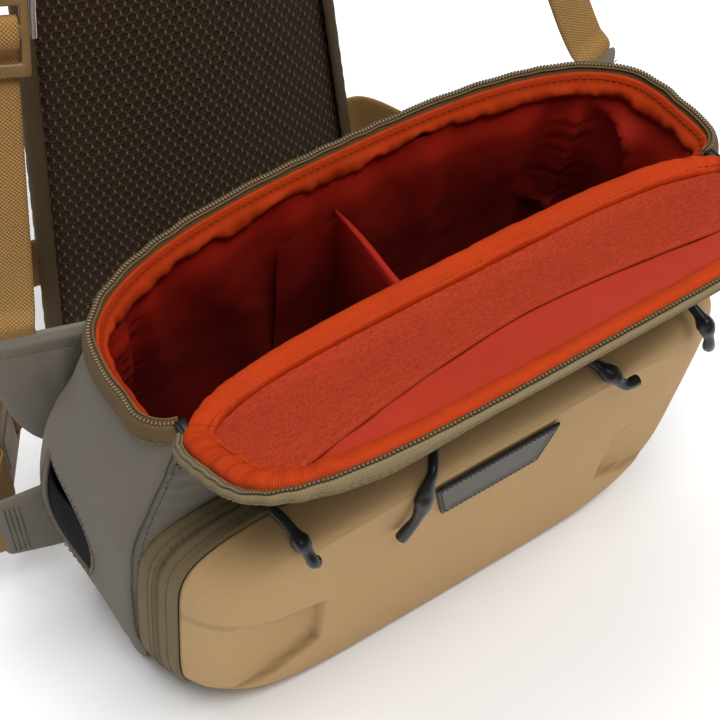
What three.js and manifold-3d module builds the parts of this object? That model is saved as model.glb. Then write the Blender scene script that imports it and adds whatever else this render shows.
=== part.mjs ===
// Chest pack standing open: a soft tub with a zipped lid folded forward, a moulded front pocket,
// and a harness of webbing, padded shoulder straps and a mesh-faced back panel.
// Millimetres, +Z up, +X the wearer's left as seen from the front, -Y the front of the pack.
// The origin is the middle of the base, on the floor.

import * as THREE from 'three';
import { mergeVertices } from 'three/addons/utils/BufferGeometryUtils.js';
import Module from 'manifold-3d';

const wasm = await Module();
wasm.setup();

// Driving dimensions
const GAP = 0.3;
const CLOTH = 2;
const LINING = 1.3;
const TAPE = 1.2;
const RIM_Z = 250;
const SHELL_TOP_Z = 236;
const BASE_MID_Y = 43;
const HINGE_Y = -37;
const ZIP_END_Y = -24;
const LID_TILT = THREE.MathUtils.degToRad(32);
const LID_BEND = 12;
const LID_DEPTH = 12.5;
const LID_PAD = 7;
const POCKET_BACK_Y = -47.3;
const POCKET_LEAN = 0.16;
const POCKET_LEAN_Z = 175;
const POCKET_WALL = 3;
const WEB_WIDTH = 25;
const SIDE_WEB_WIDTH = 38;
const WEB_THICK = 1.8;
const COIL_WIDTH = 4.4;
const COIL_HEIGHT = 2.6;
const PANEL_HEIGHT = 350;
const PANEL_THICK = 12;
const PANEL_FRONT_Y = 185;
const PANEL_RADIUS = 250;
const PANEL_LEAN = Math.tan(THREE.MathUtils.degToRad(3.5));
const PULL_RADIUS = 2.9;

// Outer sections of the tub: an oval of two powers, deeper and squarer behind than in front.
const BODY_SECTIONS = [
  { z: 0, half: 146, back: 82, front: 4, mid: 40, backPower: 5.5, frontPower: 6 },
  { z: 5, half: 154, back: 87, front: -1, mid: 40, backPower: 5.5, frontPower: 7 },
  { z: 18, half: 160, back: 89, front: -4, mid: 40, backPower: 5.5, frontPower: 8 },
  { z: 90, half: 168, back: 83, front: -15, mid: 35, backPower: 5.5, frontPower: 9 },
  { z: 158, half: 168.5, back: 75, front: -27, mid: 15, backPower: 5, frontPower: 9 },
  { z: 200, half: 160, back: 69.5, front: -33, mid: 8, backPower: 3.8, frontPower: 8 },
  { z: SHELL_TOP_Z, half: 151, back: 65, front: HINGE_Y, mid: 4, backPower: 2.8, frontPower: 7 },
];

// Outer sections of the lining, a plain bag inside the tub.
const LINING_SECTIONS = [
  { z: 3, half: 126, back: 76, front: 10, mid: 40, backPower: 4, frontPower: 6 },
  { z: 16, half: 138, back: 84, front: 2, mid: 40, backPower: 4, frontPower: 7 },
  { z: 120, half: 146, back: 76, front: -16, mid: 28, backPower: 4, frontPower: 7 },
  { z: 200, half: 147, back: 66, front: -29.5, mid: 8, backPower: 3.2, frontPower: 7 },
  { z: SHELL_TOP_Z, half: 148, back: 62, front: -34, mid: 4, backPower: 2.8, frontPower: 7 },
];

// Soft folds of the lining: place along the wall from the middle of the back, and how far it stands in.
const LINING_FOLDS = [
  { along: 62, depth: 3.2, spread: 12 },
  { along: 118, depth: 4.2, spread: 11 },
  { along: 176, depth: 5.5, spread: 9 },
  { along: -74, depth: 3.4, spread: 14 },
  { along: -150, depth: 4.4, spread: 12 },
];

// The rim that carries the zip.
const RIM = { half: 150, back: 64.5, front: HINGE_Y, mid: 3, backPower: 2.7, frontPower: 7 };

// The lid's outline, in its own plane: x across, "back" away from the hinge, "front" behind the hinge.
const LID = { half: 147, back: 105, front: -18, mid: 42, backPower: 3.8, frontPower: 4 };

// Moulded pocket shell: sections from its zip to its face, at the height where the lean is nought.
const POCKET_SECTIONS = [
  { y: POCKET_BACK_Y, half: 153, top: 179, bottom: 1.5 },
  { y: -55, half: 148, top: 178, bottom: 1.8 },
  { y: -63, half: 138, top: 175.5, bottom: 3 },
  { y: -68, half: 127, top: 172, bottom: 5 },
  { y: -70.5, half: 115, top: 168, bottom: 9 },
];
const POCKET_MID_Z = 88;
const POCKET_TOP_POWER = 7;
const POCKET_FOOT_POWER = 5;

// Sunk flat in each lower corner of the pocket: its floor seen from the front, and how its sides flare.
const FLAT_FLOOR_Y = -66;
const FLAT_FRONT_Y = -82;
const FLAT_CORNERS = [
  { x: 90, z: 92, flareX: -11, flareZ: 3 },
  { x: 90, z: 52, flareX: -11, flareZ: -7 },
  { x: 120, z: 35, flareX: -6, flareZ: -12 },
  { x: 172, z: 20, flareX: 0, flareZ: -12 },
  { x: 172, z: 124, flareX: 0, flareZ: 3 },
];

// Zip pulls: where the slider sits along the band, and where the tip of its pull lies before the pocket.
const PULLS = [
  { name: 'left', x: -108, tipX: -101, tipZ: 169 },
  { name: 'mid_left', x: -20, tipX: -53, tipZ: 140 },
  { name: 'mid_right', x: 49, tipX: 76, tipZ: 170 },
  { name: 'right', x: 116, tipX: 123, tipZ: 162 },
];

const MATERIALS = {
  grey: [0x6a665c, 0.85, 0],
  lining: [0xb8401f, 0.75, 0],
  bright: [0xd04a1c, 0.7, 0],
  loop: [0xb23c25, 0.95, 0],
  olive: [0x7d6a45, 0.8, 0],
  coil: [0x4f3f26, 0.5, 0],
  tan: [0xa88a5e, 0.8, 0],
  patch: [0x3c3a37, 0.6, 0],
  rubber: [0x1d1d1f, 0.55, 0],
  webbing: [0x9a7843, 0.8, 0],
  plastic: [0x7b5f35, 0.45, 0],
  wire: [0xb4b4b0, 0.3, 1],
  mesh: [0x463a2d, 0.85, 0],
};

const pack = new THREE.Group();

function vec(x, y, z) {
  return new THREE.Vector3(x, y, z);
}

// Adds a named mesh in one of the materials above.
function addPiece(name, geometry, materialName) {
  const [color, roughness, metalness] = MATERIALS[materialName];
  const material = new THREE.MeshStandardMaterial({ color, roughness, metalness });
  material.name = materialName;
  const mesh = new THREE.Mesh(geometry, material);
  mesh.name = name;
  pack.add(mesh);
  return mesh;
}

function signedVolume(points, index) {
  let sum = 0;
  for (let i = 0; i < index.length; i += 3) {
    const cross = points[index[i + 1]].clone().cross(points[index[i + 2]]);
    sum += points[index[i]].dot(cross);
  }
  return sum / 6;
}

function meshFrom(points, index) {
  if (signedVolume(points, index) < 0) {
    for (let i = 0; i < index.length; i += 3) {
      [index[i + 1], index[i + 2]] = [index[i + 2], index[i + 1]];
    }
  }
  const geometry = new THREE.BufferGeometry().setFromPoints(points);
  geometry.setIndex(index);
  geometry.computeVertexNormals();
  return geometry;
}

// Triangles between the two facing rows of points that make up a thin ring.
function stripTriangles(count) {
  const triangles = [];
  for (let i = 0; i < count / 2 - 1; i++) {
    triangles.push([i, i + 1, count - 2 - i], [i, count - 2 - i, count - 1 - i]);
  }
  return triangles;
}

// Triangles that close a flat ring, wound the way the ring runs.
function capTriangles(ring) {
  const spread = new THREE.Box3().setFromPoints(ring).getSize(vec(0, 0, 0));
  const thin = Math.min(spread.x, spread.y, spread.z);
  let flatten = (p) => new THREE.Vector2(p.x, p.y);
  if (thin === spread.y) flatten = (p) => new THREE.Vector2(p.x, p.z);
  else if (thin === spread.x) flatten = (p) => new THREE.Vector2(p.y, p.z);
  const flat = ring.map(flatten);
  const forward = THREE.ShapeUtils.area(flat) > 0;
  return THREE.ShapeUtils.triangulateShape(flat, []).map(([a, b, c]) => {
    const same = THREE.ShapeUtils.area([flat[a], flat[b], flat[c]]) > 0 === forward;
    return same ? [a, b, c] : [a, c, b];
  });
}

// A closed solid through equal rings; its ends are capped, as thin strips if asked, or joined in a loop.
function loft(rings, { loop = false, strip = false } = {}) {
  const count = rings[0].length;
  const points = rings.flat();
  const index = [];
  const steps = loop ? rings.length : rings.length - 1;
  for (let r = 0; r < steps; r++) {
    const a = r * count;
    const b = ((r + 1) % rings.length) * count;
    for (let i = 0; i < count; i++) {
      const j = (i + 1) % count;
      index.push(a + i, a + j, b + j, a + i, b + j, b + i);
    }
  }
  if (!loop) {
    const end = points.length - count;
    const cap = (ring) => (strip ? stripTriangles(count) : capTriangles(ring));
    for (const [a, b, c] of cap(rings[0])) index.push(a, c, b);
    for (const [a, b, c] of cap(rings.at(-1))) index.push(end + a, end + b, end + c);
  }
  return meshFrom(points, index);
}

// A section carried along stations that each have a place, an outward and an upward direction.
function sweep(stations, section, options) {
  const rings = stations.map(({ place, out, up }) => section.map(([o, u]) => (
    place.clone().addScaledVector(out, o).addScaledVector(up, u)
  )));
  return loft(rings, options);
}

// Points along a curve, closer together where it turns.
function respace(dense, count, turnLength, loop) {
  const total = [0];
  const size = dense.length;
  const steps = loop ? size : size - 1;
  for (let i = 1; i <= steps; i++) {
    const before = dense[(i - 1 + size - (i === 1 && !loop ? 0 : 1)) % size];
    const here = dense[i - 1];
    const next = dense[i % size];
    const first = here.clone().sub(before);
    const second = next.clone().sub(here);
    const turn = first.length() > 0 ? Math.abs(Math.atan2(first.cross(second), first.dot(second))) : 0;
    total.push(total[i - 1] + second.length() + turnLength * turn);
  }
  const result = [];
  const parts = loop ? count : count - 1;
  let k = 0;
  for (let n = 0; n < count; n++) {
    const want = (total.at(-1) * n) / parts;
    while (k < steps - 1 && total[k + 1] < want) k += 1;
    const share = (want - total[k]) / (total[k + 1] - total[k]);
    result.push(dense[k].clone().lerp(dense[(k + 1) % size], THREE.MathUtils.clamp(share, 0, 1)));
  }
  return result;
}

// Dense points of an oval with its own power before and behind its widest line, from the middle of the back.
function ovalPoints({ half, back, front, mid, backPower, frontPower }, grow = 0) {
  const dense = 720;
  const points = [];
  for (let i = 0; i < dense; i++) {
    const angle = (2 * Math.PI * i) / dense;
    const s = Math.sin(angle);
    const c = Math.cos(angle);
    const behind = c >= 0;
    const power = 2 / (behind ? backPower : frontPower);
    const depth = behind ? back - mid + grow : mid - front + grow;
    points.push(new THREE.Vector2(
      (half + grow) * Math.sign(s) * Math.abs(s) ** power,
      mid + depth * Math.sign(c) * Math.abs(c) ** power,
    ));
  }
  return points;
}

const TURN_LENGTH = 60;

function ovalRing(row, count, grow = 0) {
  return respace(ovalPoints(row, grow), count, TURN_LENGTH, true);
}

function manifoldOf(geometry) {
  const bare = geometry.clone();
  bare.deleteAttribute('normal');
  bare.deleteAttribute('uv');
  const merged = mergeVertices(bare, 1e-4);
  return new wasm.Manifold(new wasm.Mesh({
    numProp: 3,
    vertProperties: new Float32Array(merged.attributes.position.array),
    triVerts: new Uint32Array(merged.index.array),
  }));
}

function geometryOf(manifold) {
  const { numProp, vertProperties, triVerts } = manifold.getMesh();
  const points = [];
  for (let i = 0; i < vertProperties.length; i += numProp) {
    points.push(vec(vertProperties[i], vertProperties[i + 1], vertProperties[i + 2]));
  }
  return meshFrom(points, Array.from(triVerts));
}

// The same solid on the other side of the pack.
function mirrored(geometry) {
  const bare = geometry.clone();
  bare.deleteAttribute('normal');
  bare.deleteAttribute('uv');
  const merged = mergeVertices(bare, 1e-4);
  const points = [];
  for (let i = 0; i < merged.attributes.position.count; i++) {
    const p = vec(0, 0, 0).fromBufferAttribute(merged.attributes.position, i);
    points.push(vec(-p.x, p.y, p.z));
  }
  return meshFrom(points, Array.from(merged.index.array));
}

// Adds a piece made for the left side, and its mirror image on the right.
function addPair(name, geometry, materialName) {
  addPiece(`${name}_left`, geometry, materialName);
  addPiece(`${name}_right`, mirrored(geometry), materialName);
}

// Tub shell, with the slanted tool slot cut in each side
const BODY_POINTS = 38;
const SLOT = { y: 37, z: 121, length: 84, width: 24, lean: 0.2 };

function bodyRing(row, grow) {
  return ovalRing(row, BODY_POINTS, grow).map((p) => vec(p.x, p.y, row.z));
}

const bodyOuter = BODY_SECTIONS.map((row) => bodyRing(row, 0));
const bodyInner = BODY_SECTIONS.map((row, i) => bodyRing(row, -CLOTH).map((p) => (
  i === 0 ? p.setZ(CLOTH) : p
)));
const bodyBlock = manifoldOf(loft(BODY_SECTIONS.map((row) => bodyRing(row, GAP))));

// An eye-shaped cutter or tongue lying along the tool slot, between two depths on the left side.
function slotEye(length, width, xOut, xIn) {
  const eye = new THREE.Shape();
  eye.moveTo(0, -length / 2);
  eye.quadraticCurveTo(width, 0, 0, length / 2);
  eye.quadraticCurveTo(-width, 0, 0, -length / 2);
  const prism = new THREE.ExtrudeGeometry(eye, { depth: xIn - xOut, bevelEnabled: false, curveSegments: 5 });
  prism.rotateZ(-Math.PI / 2);
  prism.rotateY(Math.PI / 2);
  prism.rotateX(Math.PI - SLOT.lean);
  prism.translate(xOut, SLOT.y, SLOT.z);
  return prism;
}

const SLEEVE_THICK = 2.5;
const slotCutter = slotEye(SLOT.length, SLOT.width, -180, -150);
const shell = manifoldOf(loft([...bodyOuter, ...bodyInner.reverse()]));
const slottedShell = shell.subtract(manifoldOf(slotCutter)).subtract(manifoldOf(mirrored(slotCutter)));
addPiece('body_shell', geometryOf(slottedShell), 'grey');

// The rubber sleeve lies against the inside of the wall behind the slot.
const sleeveEye = manifoldOf(slotEye(SLOT.length + 8, SLOT.width + 9, -180, -150));
const insideWall = loft(BODY_SECTIONS.map((row) => bodyRing(row, -CLOTH - GAP)));
const behindSleeve = insideWall.clone().translate(SLEEVE_THICK, 0, 0);
const sleeve = geometryOf(sleeveEye.intersect(manifoldOf(insideWall)).subtract(manifoldOf(behindSleeve)));
addPair('tool_sleeve', sleeve, 'rubber');

// Lining with its folds
const LINING_POINTS = 38;

function foldedRing(row, inset) {
  const ring = ovalRing(row, LINING_POINTS, -inset);
  const share = row.z > 40 && row.z < SHELL_TOP_Z ? 1 : 0;
  const length = ring.reduce((sum, p, i) => sum + p.distanceTo(ring[(i + 1) % ring.length]), 0);
  let along = 0;
  return ring.map((p, i) => {
    if (i > 0) along += p.distanceTo(ring[i - 1]);
    const signed = p.x < 0 ? along - length : along;
    let push = 0;
    for (const { along: at, depth, spread } of LINING_FOLDS) {
      push += depth * Math.exp(-(((signed - at) / spread) ** 2));
    }
    const inward = new THREE.Vector2(-p.x, row.mid - p.y).normalize().multiplyScalar(push * share);
    return vec(p.x + inward.x, p.y + inward.y, row.z);
  });
}

const liningOuter = LINING_SECTIONS.map((row) => foldedRing(row, 0));
const liningInner = LINING_SECTIONS.map((row, i) => foldedRing(row, LINING).map((p) => (
  i === 0 ? p.setZ(row.z + LINING) : p
)));
addPiece('body_lining', loft([...liningOuter, ...liningInner.reverse()]), 'lining');

// Bands along the rim, from one end of the zip round the back to the other
const RIM_POINTS = 30;

function rimStations(z) {
  const dense = ovalPoints(RIM);
  const start = dense.findIndex((p) => p.x > 0 && p.y < ZIP_END_Y);
  const round = [];
  for (let i = start - 1; i > start - 2 * start + 1; i--) {
    round.push(dense[(i + dense.length) % dense.length]);
  }
  const path = respace(round, RIM_POINTS, TURN_LENGTH, false);
  return path.map((p, i) => {
    const before = path[Math.max(i - 1, 0)];
    const after = path[Math.min(i + 1, path.length - 1)];
    const out = new THREE.Vector2(after.y - before.y, before.x - after.x).normalize();
    if (out.dot(new THREE.Vector2(p.x, p.y - RIM.mid)) < 0) out.negate();
    return { place: vec(p.x, p.y, z), out: vec(out.x, out.y, 0), up: vec(0, 0, 1) };
  });
}

const TAPE_OUT = 4;
const FACING_TOP = -3;
addPiece('rim_tape', sweep(rimStations(RIM_Z), [
  [TAPE_OUT, -16], [TAPE_OUT + TAPE, -16], [TAPE, -0.5], [TAPE, 0], [0, 0], [0, -0.8],
]), 'olive');
addPiece('rim_coil', sweep(rimStations(RIM_Z + GAP), [
  [TAPE, 0], [TAPE, COIL_HEIGHT], [TAPE - COIL_WIDTH, COIL_HEIGHT], [TAPE - COIL_WIDTH, 0],
]), 'coil');
addPiece('rim_facing', sweep(rimStations(RIM_Z), [
  [-0.4, FACING_TOP], [-3, FACING_TOP + 0.8], [-6, FACING_TOP - 2], [-6.5, -9], [-4, -13.5], [-0.6, -13.5],
]), 'bright');

// Lid surface: flat over the hinge, bent up along a short arc, then straight
const BEND_RADIUS = (2 * LID_BEND) / LID_TILT;

function lidFrame(d) {
  const share = THREE.MathUtils.clamp((d + LID_BEND) / (2 * LID_BEND), 0, 1);
  const angle = LID_TILT * share;
  const beyond = d > LID_BEND ? d - LID_BEND : Math.min(d + LID_BEND, 0);
  const run = LID_BEND - BEND_RADIUS * Math.sin(angle) - beyond * Math.cos(angle);
  const rise = BEND_RADIUS * (1 - Math.cos(angle)) + beyond * Math.sin(angle);
  return {
    place: vec(0, HINGE_Y + run, RIM_Z + rise),
    up: vec(0, Math.sin(angle), Math.cos(angle)),
  };
}

function lidPoint(x, d, n) {
  const { place, up } = lidFrame(d);
  return place.addScaledVector(up, n).setX(x);
}

// How far the lid's outline reaches before and behind its widest line at one x.
function lidReach(x, grow) {
  const inside = Math.min(Math.abs(x) / (LID.half + grow), 1);
  const away = (LID.back - LID.mid + grow) * (1 - inside ** LID.backPower) ** (1 / LID.backPower);
  const near = (LID.mid - LID.front + grow) * (1 - inside ** LID.frontPower) ** (1 / LID.frontPower);
  return { low: LID.mid - near, high: LID.mid + away };
}

const PLATE_COLUMNS = 12;
const PLATE_GRID = [-LID_BEND, -LID_BEND / 3, LID_BEND / 3, LID_BEND, 56];
const GRID_CLEAR = 0.2;

// A plate lying in the lid between two heights; edge() gives its two limits at each x.
function lidPlate(halfLength, bottom, top, edge) {
  const rings = [];
  for (let i = 0; i <= PLATE_COLUMNS; i++) {
    const x = halfLength * Math.sin(((i / PLATE_COLUMNS) - 0.5) * Math.PI);
    const { low, high } = edge(x);
    const inner = PLATE_GRID.map((d, k) => Math.max(d, low + GRID_CLEAR * (k + 1))).map((d, k) => (
      Math.min(d, high - GRID_CLEAR * (PLATE_GRID.length - k))
    ));
    const under = [low, ...inner, high].map((d) => lidPoint(x, d, bottom));
    const over = [low, ...inner, high].map((d) => lidPoint(x, d, top));
    rings.push([...under, ...over.reverse()]);
  }
  return loft(rings, { strip: true });
}

const BINDING_WIDTH = 9;
const PLATE_INSET = 4.5;
const panelTop = -LID_DEPTH + LID_PAD;
const liningTop = panelTop + GAP + LINING;
const LOOP_THICK = 1.8;
const LOOP_EDGE = { middle: 45, curve: 0.0212, power: 1.5 };

addPiece('lid_panel', lidPlate(LID.half - 3, -LID_DEPTH, panelTop, (x) => lidReach(x, -1.6)), 'grey');
const innerHalf = LID.half - PLATE_INSET - 2;
addPiece('lid_lining', lidPlate(innerHalf, panelTop + GAP, liningTop, (x) => (
  lidReach(x, -PLATE_INSET)
)), 'lining');

// The loop panel runs from the hinge binding to a bowed edge.
const loopInset = PLATE_INSET + BINDING_WIDTH + 1;
addPiece('loop_panel', lidPlate(LID.half - loopInset - 3, liningTop + GAP, liningTop + GAP + LOOP_THICK, (x) => {
  const { low, high } = lidReach(x, -loopInset);
  const bow = LOOP_EDGE.middle + LOOP_EDGE.curve * Math.abs(x) ** LOOP_EDGE.power;
  return { low, high: Math.min(bow, high) };
}), 'loop');

// Stations round the lid's outline; the zip bands leave the hinge side open.
const LID_POINTS = 36;
const ZIP_START_D = 6;

function lidStations(count, open) {
  const dense = ovalPoints(LID);
  const start = dense.findIndex((p) => p.x > 0 && p.y < ZIP_START_D);
  const round = [];
  for (let i = start - 1; i > 1 - start; i--) {
    round.push(dense[(i + dense.length) % dense.length]);
  }
  const path = open ? respace(round, count, TURN_LENGTH, false) : respace(dense, count, TURN_LENGTH, true);
  return path.map((p, i) => {
    const size = path.length;
    const before = open ? path[Math.max(i - 1, 0)] : path[(i + size - 1) % size];
    const after = open ? path[Math.min(i + 1, size - 1)] : path[(i + 1) % size];
    const out = new THREE.Vector2(after.y - before.y, before.x - after.x).normalize();
    if (out.dot(new THREE.Vector2(p.x, p.y - LID.mid)) < 0) out.negate();
    return { p, out };
  });
}

// A section carried round the lid, following the bend of its surface.
function lidSweep(stations, section, options) {
  return loft(stations.map(({ p, out }) => section.map(([o, u]) => (
    lidPoint(p.x + out.x * o, p.y + out.y * o, u)
  ))), options);
}

const bindingFoot = liningTop + 2 * GAP;
addPiece('lid_binding', lidSweep(lidStations(LID_POINTS, false), [
  [-PLATE_INSET, bindingFoot], [-PLATE_INSET + 0.6, 0.6], [-PLATE_INSET - 3, 2.4],
  [-PLATE_INSET - 7, 1.6], [-PLATE_INSET - BINDING_WIDTH, bindingFoot],
], { loop: true }), 'bright');
addPiece('lid_tape', lidSweep(lidStations(RIM_POINTS, true), [
  [-1, -LID_DEPTH], [TAPE + 0.4, -LID_DEPTH], [TAPE, 0], [-TAPE, 0], [-1, -1.4],
]), 'olive');
addPiece('lid_coil', lidSweep(lidStations(RIM_POINTS, true), [
  [TAPE, GAP], [TAPE, GAP + COIL_HEIGHT], [TAPE - COIL_WIDTH, GAP + COIL_HEIGHT], [TAPE - COIL_WIDTH, GAP],
]), 'coil');

// Cloth hinge: a strip up the front wall that turns under the lid
const HINGE_HALF = 112;
const hingeRows = (n) => [
  vec(0, -33.6 - n, 206), vec(0, -35.6 - n, 222), vec(0, -37.4 - n, 234),
  ...[3, 9, 15, 26].map((d) => lidPoint(0, d, -LID_DEPTH - GAP - n)),
];
const hingeRing = [...hingeRows(0), ...hingeRows(1.5).reverse()];
const hingeStrip = loft([-HINGE_HALF, HINGE_HALF].map((x) => (
  hingeRing.map((p) => p.clone().setX(x))
)), { strip: true });
addPiece('lid_hinge', geometryOf(manifoldOf(hingeStrip).subtract(bodyBlock)), 'grey');

// Black slider at each end of the main zip
const zipEnd = new THREE.BoxGeometry(8, 13, 8);
zipEnd.translate(-144.5, ZIP_END_Y - 6.6, RIM_Z - 0.5);
addPair('zip_end', zipEnd, 'rubber');

// Padded divider: a cross wall with a short flange against the back wall
const DIVIDER = { x: -7, thick: 5, top: 213, flange: 30 };
const liningSpace = manifoldOf(loft(LINING_SECTIONS.map((row, i) => foldedRing(row, LINING + GAP).map((p) => (
  i === 0 ? p.setZ(row.z + LINING + GAP) : p
)))));

// A block inside the lining from one x to another, from the floor to the divider's top.
function dividerBlock(fromX, toX) {
  const block = new THREE.BoxGeometry(toX - fromX, 4 * RIM_Z, 2 * DIVIDER.top);
  block.translate((fromX + toX) / 2, 0, 0);
  return manifoldOf(block).intersect(liningSpace);
}

const crossWall = dividerBlock(DIVIDER.x, DIVIDER.x + DIVIDER.thick);
const flange = dividerBlock(DIVIDER.x - DIVIDER.flange, DIVIDER.x + 1);
const flangeFront = liningSpace.translate(0, -DIVIDER.thick, 0);
addPiece('divider', geometryOf(crossWall.add(flange.subtract(flangeFront))), 'lining');

// Front pocket: a zip band round the body's front, and the moulded shell that it carries
const POCKET_POINTS = 32;
const BAND_THICK = 2.4;
const BAND_SECTIONS = [
  { y: -20, half: 163, top: 183.5, bottom: 1 },
  { y: -38, half: 159, top: 182.5, bottom: 1 },
  { y: POCKET_BACK_Y + GAP, half: 154, top: 179.5, bottom: 1.5 },
];

// The pocket leans back towards its foot.
function leaning(x, y, z) {
  return vec(x, y + POCKET_LEAN * (POCKET_LEAN_Z - z), z);
}

function pocketRing({ y, half, top, bottom }, inset) {
  const row = {
    half, back: top, front: bottom, mid: POCKET_MID_Z, backPower: POCKET_TOP_POWER, frontPower: POCKET_FOOT_POWER,
  };
  return ovalRing(row, POCKET_POINTS, -inset).map((p) => leaning(p.x, y, p.y));
}

const bandOuter = BAND_SECTIONS.map((row) => pocketRing(row, 0));
const bandInner = BAND_SECTIONS.map((row) => pocketRing(row, BAND_THICK));
const bandLoop = loft([...bandOuter, ...bandInner.reverse()], { loop: true });
addPiece('pocket_band', geometryOf(manifoldOf(bandLoop).subtract(bodyBlock)), 'olive');

// The space in front of a corner's sunk flat, or the same space pushed into the pocket by the wall.
function flatSpace(push) {
  const side = (flare, grow) => Math.sign(flare) * grow;
  const ring = (y, share) => FLAT_CORNERS.map(({ x, z, flareX, flareZ }) => leaning(
    x + flareX * share + side(flareX, push), y + push, z + flareZ * share + side(flareZ, push),
  ));
  return loft([ring(FLAT_FLOOR_Y, 0), ring(FLAT_FRONT_Y, 1)]);
}

let pocketSolid = manifoldOf(loft(POCKET_SECTIONS.map((row) => pocketRing(row, 0))));
let pocketHollow = manifoldOf(loft(POCKET_SECTIONS.map((row, i) => (
  pocketRing({ ...row, y: i === 0 ? row.y + 1 : row.y + POCKET_WALL }, POCKET_WALL)
))));
for (const side of [(shape) => shape, mirrored]) {
  pocketSolid = pocketSolid.subtract(manifoldOf(side(flatSpace(0))));
  pocketHollow = pocketHollow.subtract(manifoldOf(side(flatSpace(POCKET_WALL))));
}
addPiece('pocket_shell', geometryOf(pocketSolid.subtract(pocketHollow)), 'tan');

// Bare patch on the pocket's face
const POCKET_FACE_Y = POCKET_SECTIONS.at(-1).y;
const PATCH = { topHalf: 35, bottomHalf: 28, top: 167, bottom: 133, thick: 1.8 };
addPiece('patch', loft([GAP, GAP + PATCH.thick].map((off) => [
  leaning(-PATCH.bottomHalf, POCKET_FACE_Y - off, PATCH.bottom),
  leaning(PATCH.bottomHalf, POCKET_FACE_Y - off, PATCH.bottom),
  leaning(PATCH.topHalf, POCKET_FACE_Y - off, PATCH.top),
  leaning(-PATCH.topHalf, POCKET_FACE_Y - off, PATCH.top),
])), 'patch');

// Sliders on the pocket's zip, each with a knotted rubber pull
const SLIDER = { width: 9, length: 11, height: 4.5, y: -40 };
const SLIDER_SEAT = { half: 160, top: 182.9 };
const ROUND_STEPS = 3;
const KNOT_RADIUS = 4.8;
const KNOT_SHARE = 0.68;
const KNOT_LIFT = 2;

// Foot of the slider at one place along the band, which drops away towards its ends.
function sliderFoot(x) {
  const inside = (Math.abs(x) - SLIDER.width / 2) / SLIDER_SEAT.half;
  const drop = (1 - inside ** POCKET_TOP_POWER) ** (1 / POCKET_TOP_POWER);
  return POCKET_MID_Z + (SLIDER_SEAT.top - POCKET_MID_Z) * drop + GAP;
}

function pullShape({ x, tipX, tipZ }) {
  const startZ = sliderFoot(x) + 3.1;
  const startY = SLIDER.y - SLIDER.length / 2 - 2 * GAP;
  const frontY = POCKET_FACE_Y - PULL_RADIUS - 2.2;
  const at = (share) => THREE.MathUtils.lerp(x, tipX, share);
  const route = new THREE.CatmullRomCurve3([
    vec(x, startY, startZ), vec(x, startY - 4, startZ), vec(at(0.25), -58, 184), vec(at(0.55), -70.5, 177.6),
    leaning(at(0.78), frontY, (tipZ + 172) / 2), leaning(tipX, frontY, tipZ),
  ]);
  const round = new THREE.Shape();
  round.absarc(0, 0, PULL_RADIUS, 0, 2 * Math.PI);
  const tube = new THREE.ExtrudeGeometry(round, {
    steps: 12, curveSegments: ROUND_STEPS, extrudePath: route, bevelEnabled: false,
  });
  const knot = new THREE.IcosahedronGeometry(KNOT_RADIUS, 1);
  const centre = route.getPointAt(KNOT_SHARE);
  knot.translate(centre.x, centre.y - KNOT_LIFT, centre.z + KNOT_LIFT);
  return geometryOf(manifoldOf(tube).add(manifoldOf(knot)));
}

for (const row of PULLS) {
  const slider = new THREE.BoxGeometry(SLIDER.width, SLIDER.length, SLIDER.height);
  slider.translate(row.x, SLIDER.y, sliderFoot(row.x) + SLIDER.height / 2);
  addPiece(`slider_${row.name}`, slider, 'rubber');
  addPiece(`pull_${row.name}`, pullShape(row), 'rubber');
}

// Ribbons: webbing and padded straps along a path, with the direction across them at each point
function ribbon(path, across, widths, thick) {
  const rings = path.map((place, i) => {
    const before = path[Math.max(i - 1, 0)];
    const after = path[Math.min(i + 1, path.length - 1)];
    const run = after.clone().sub(before).normalize();
    const side = across[i].clone().addScaledVector(run, -across[i].dot(run)).normalize();
    const face = side.clone().cross(run);
    const half = widths[i] / 2;
    const corner = (s, f) => place.clone().addScaledVector(side, s * half).addScaledVector(face, f * thick / 2);
    return [corner(-1, -1), corner(1, -1), corner(1, 1), corner(-1, 1)];
  });
  return loft(rings, { strip: true });
}

function same(value, list) {
  return list.map(() => value);
}

// Wing at the top of each side, and tab at its foot, standing off the back corners of the body
const MOUTH = vec(-166, 76, 209);
const WING_THICK = 6.4;
const WING_OUT = vec(-0.951, 0.309, 0);
const WING_FACE = vec(-0.309, -0.951, 0);
const WING_OUTLINE = [
  { x: -105, z: 214 }, { x: -158, z: 210.5 }, { x: -188, z: 207 }, { x: -185, z: 192 },
  { x: -178, z: 178 }, { x: -172, z: 150 }, { x: -164, z: 134 }, { x: -105, z: 134 },
];
const TAB = { z: 77, height: 46, thick: 5.4, root: vec(-130, 62, 0), length: 68, out: vec(-0.975, 0.222, 0) };

// A plate drawn in x and z, turned to run along a level direction through a point.
function standingPlate(outline, through, out, thick) {
  const points = outline.map(({ x, z }) => new THREE.Vector2((x - through.x) / out.x, z));
  const plate = new THREE.ExtrudeGeometry(new THREE.Shape(points), { depth: thick, bevelEnabled: false });
  plate.translate(0, 0, -thick / 2);
  const face = out.clone().cross(vec(0, 0, 1));
  plate.applyMatrix4(new THREE.Matrix4().makeBasis(out, vec(0, 0, 1), face));
  plate.translate(through.x, through.y, 0);
  return plate;
}

function slotBlock(path, across, width, thick) {
  return manifoldOf(ribbon(path, same(across, path), same(width + 2 * GAP, path), thick + 4 * GAP));
}

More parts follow.
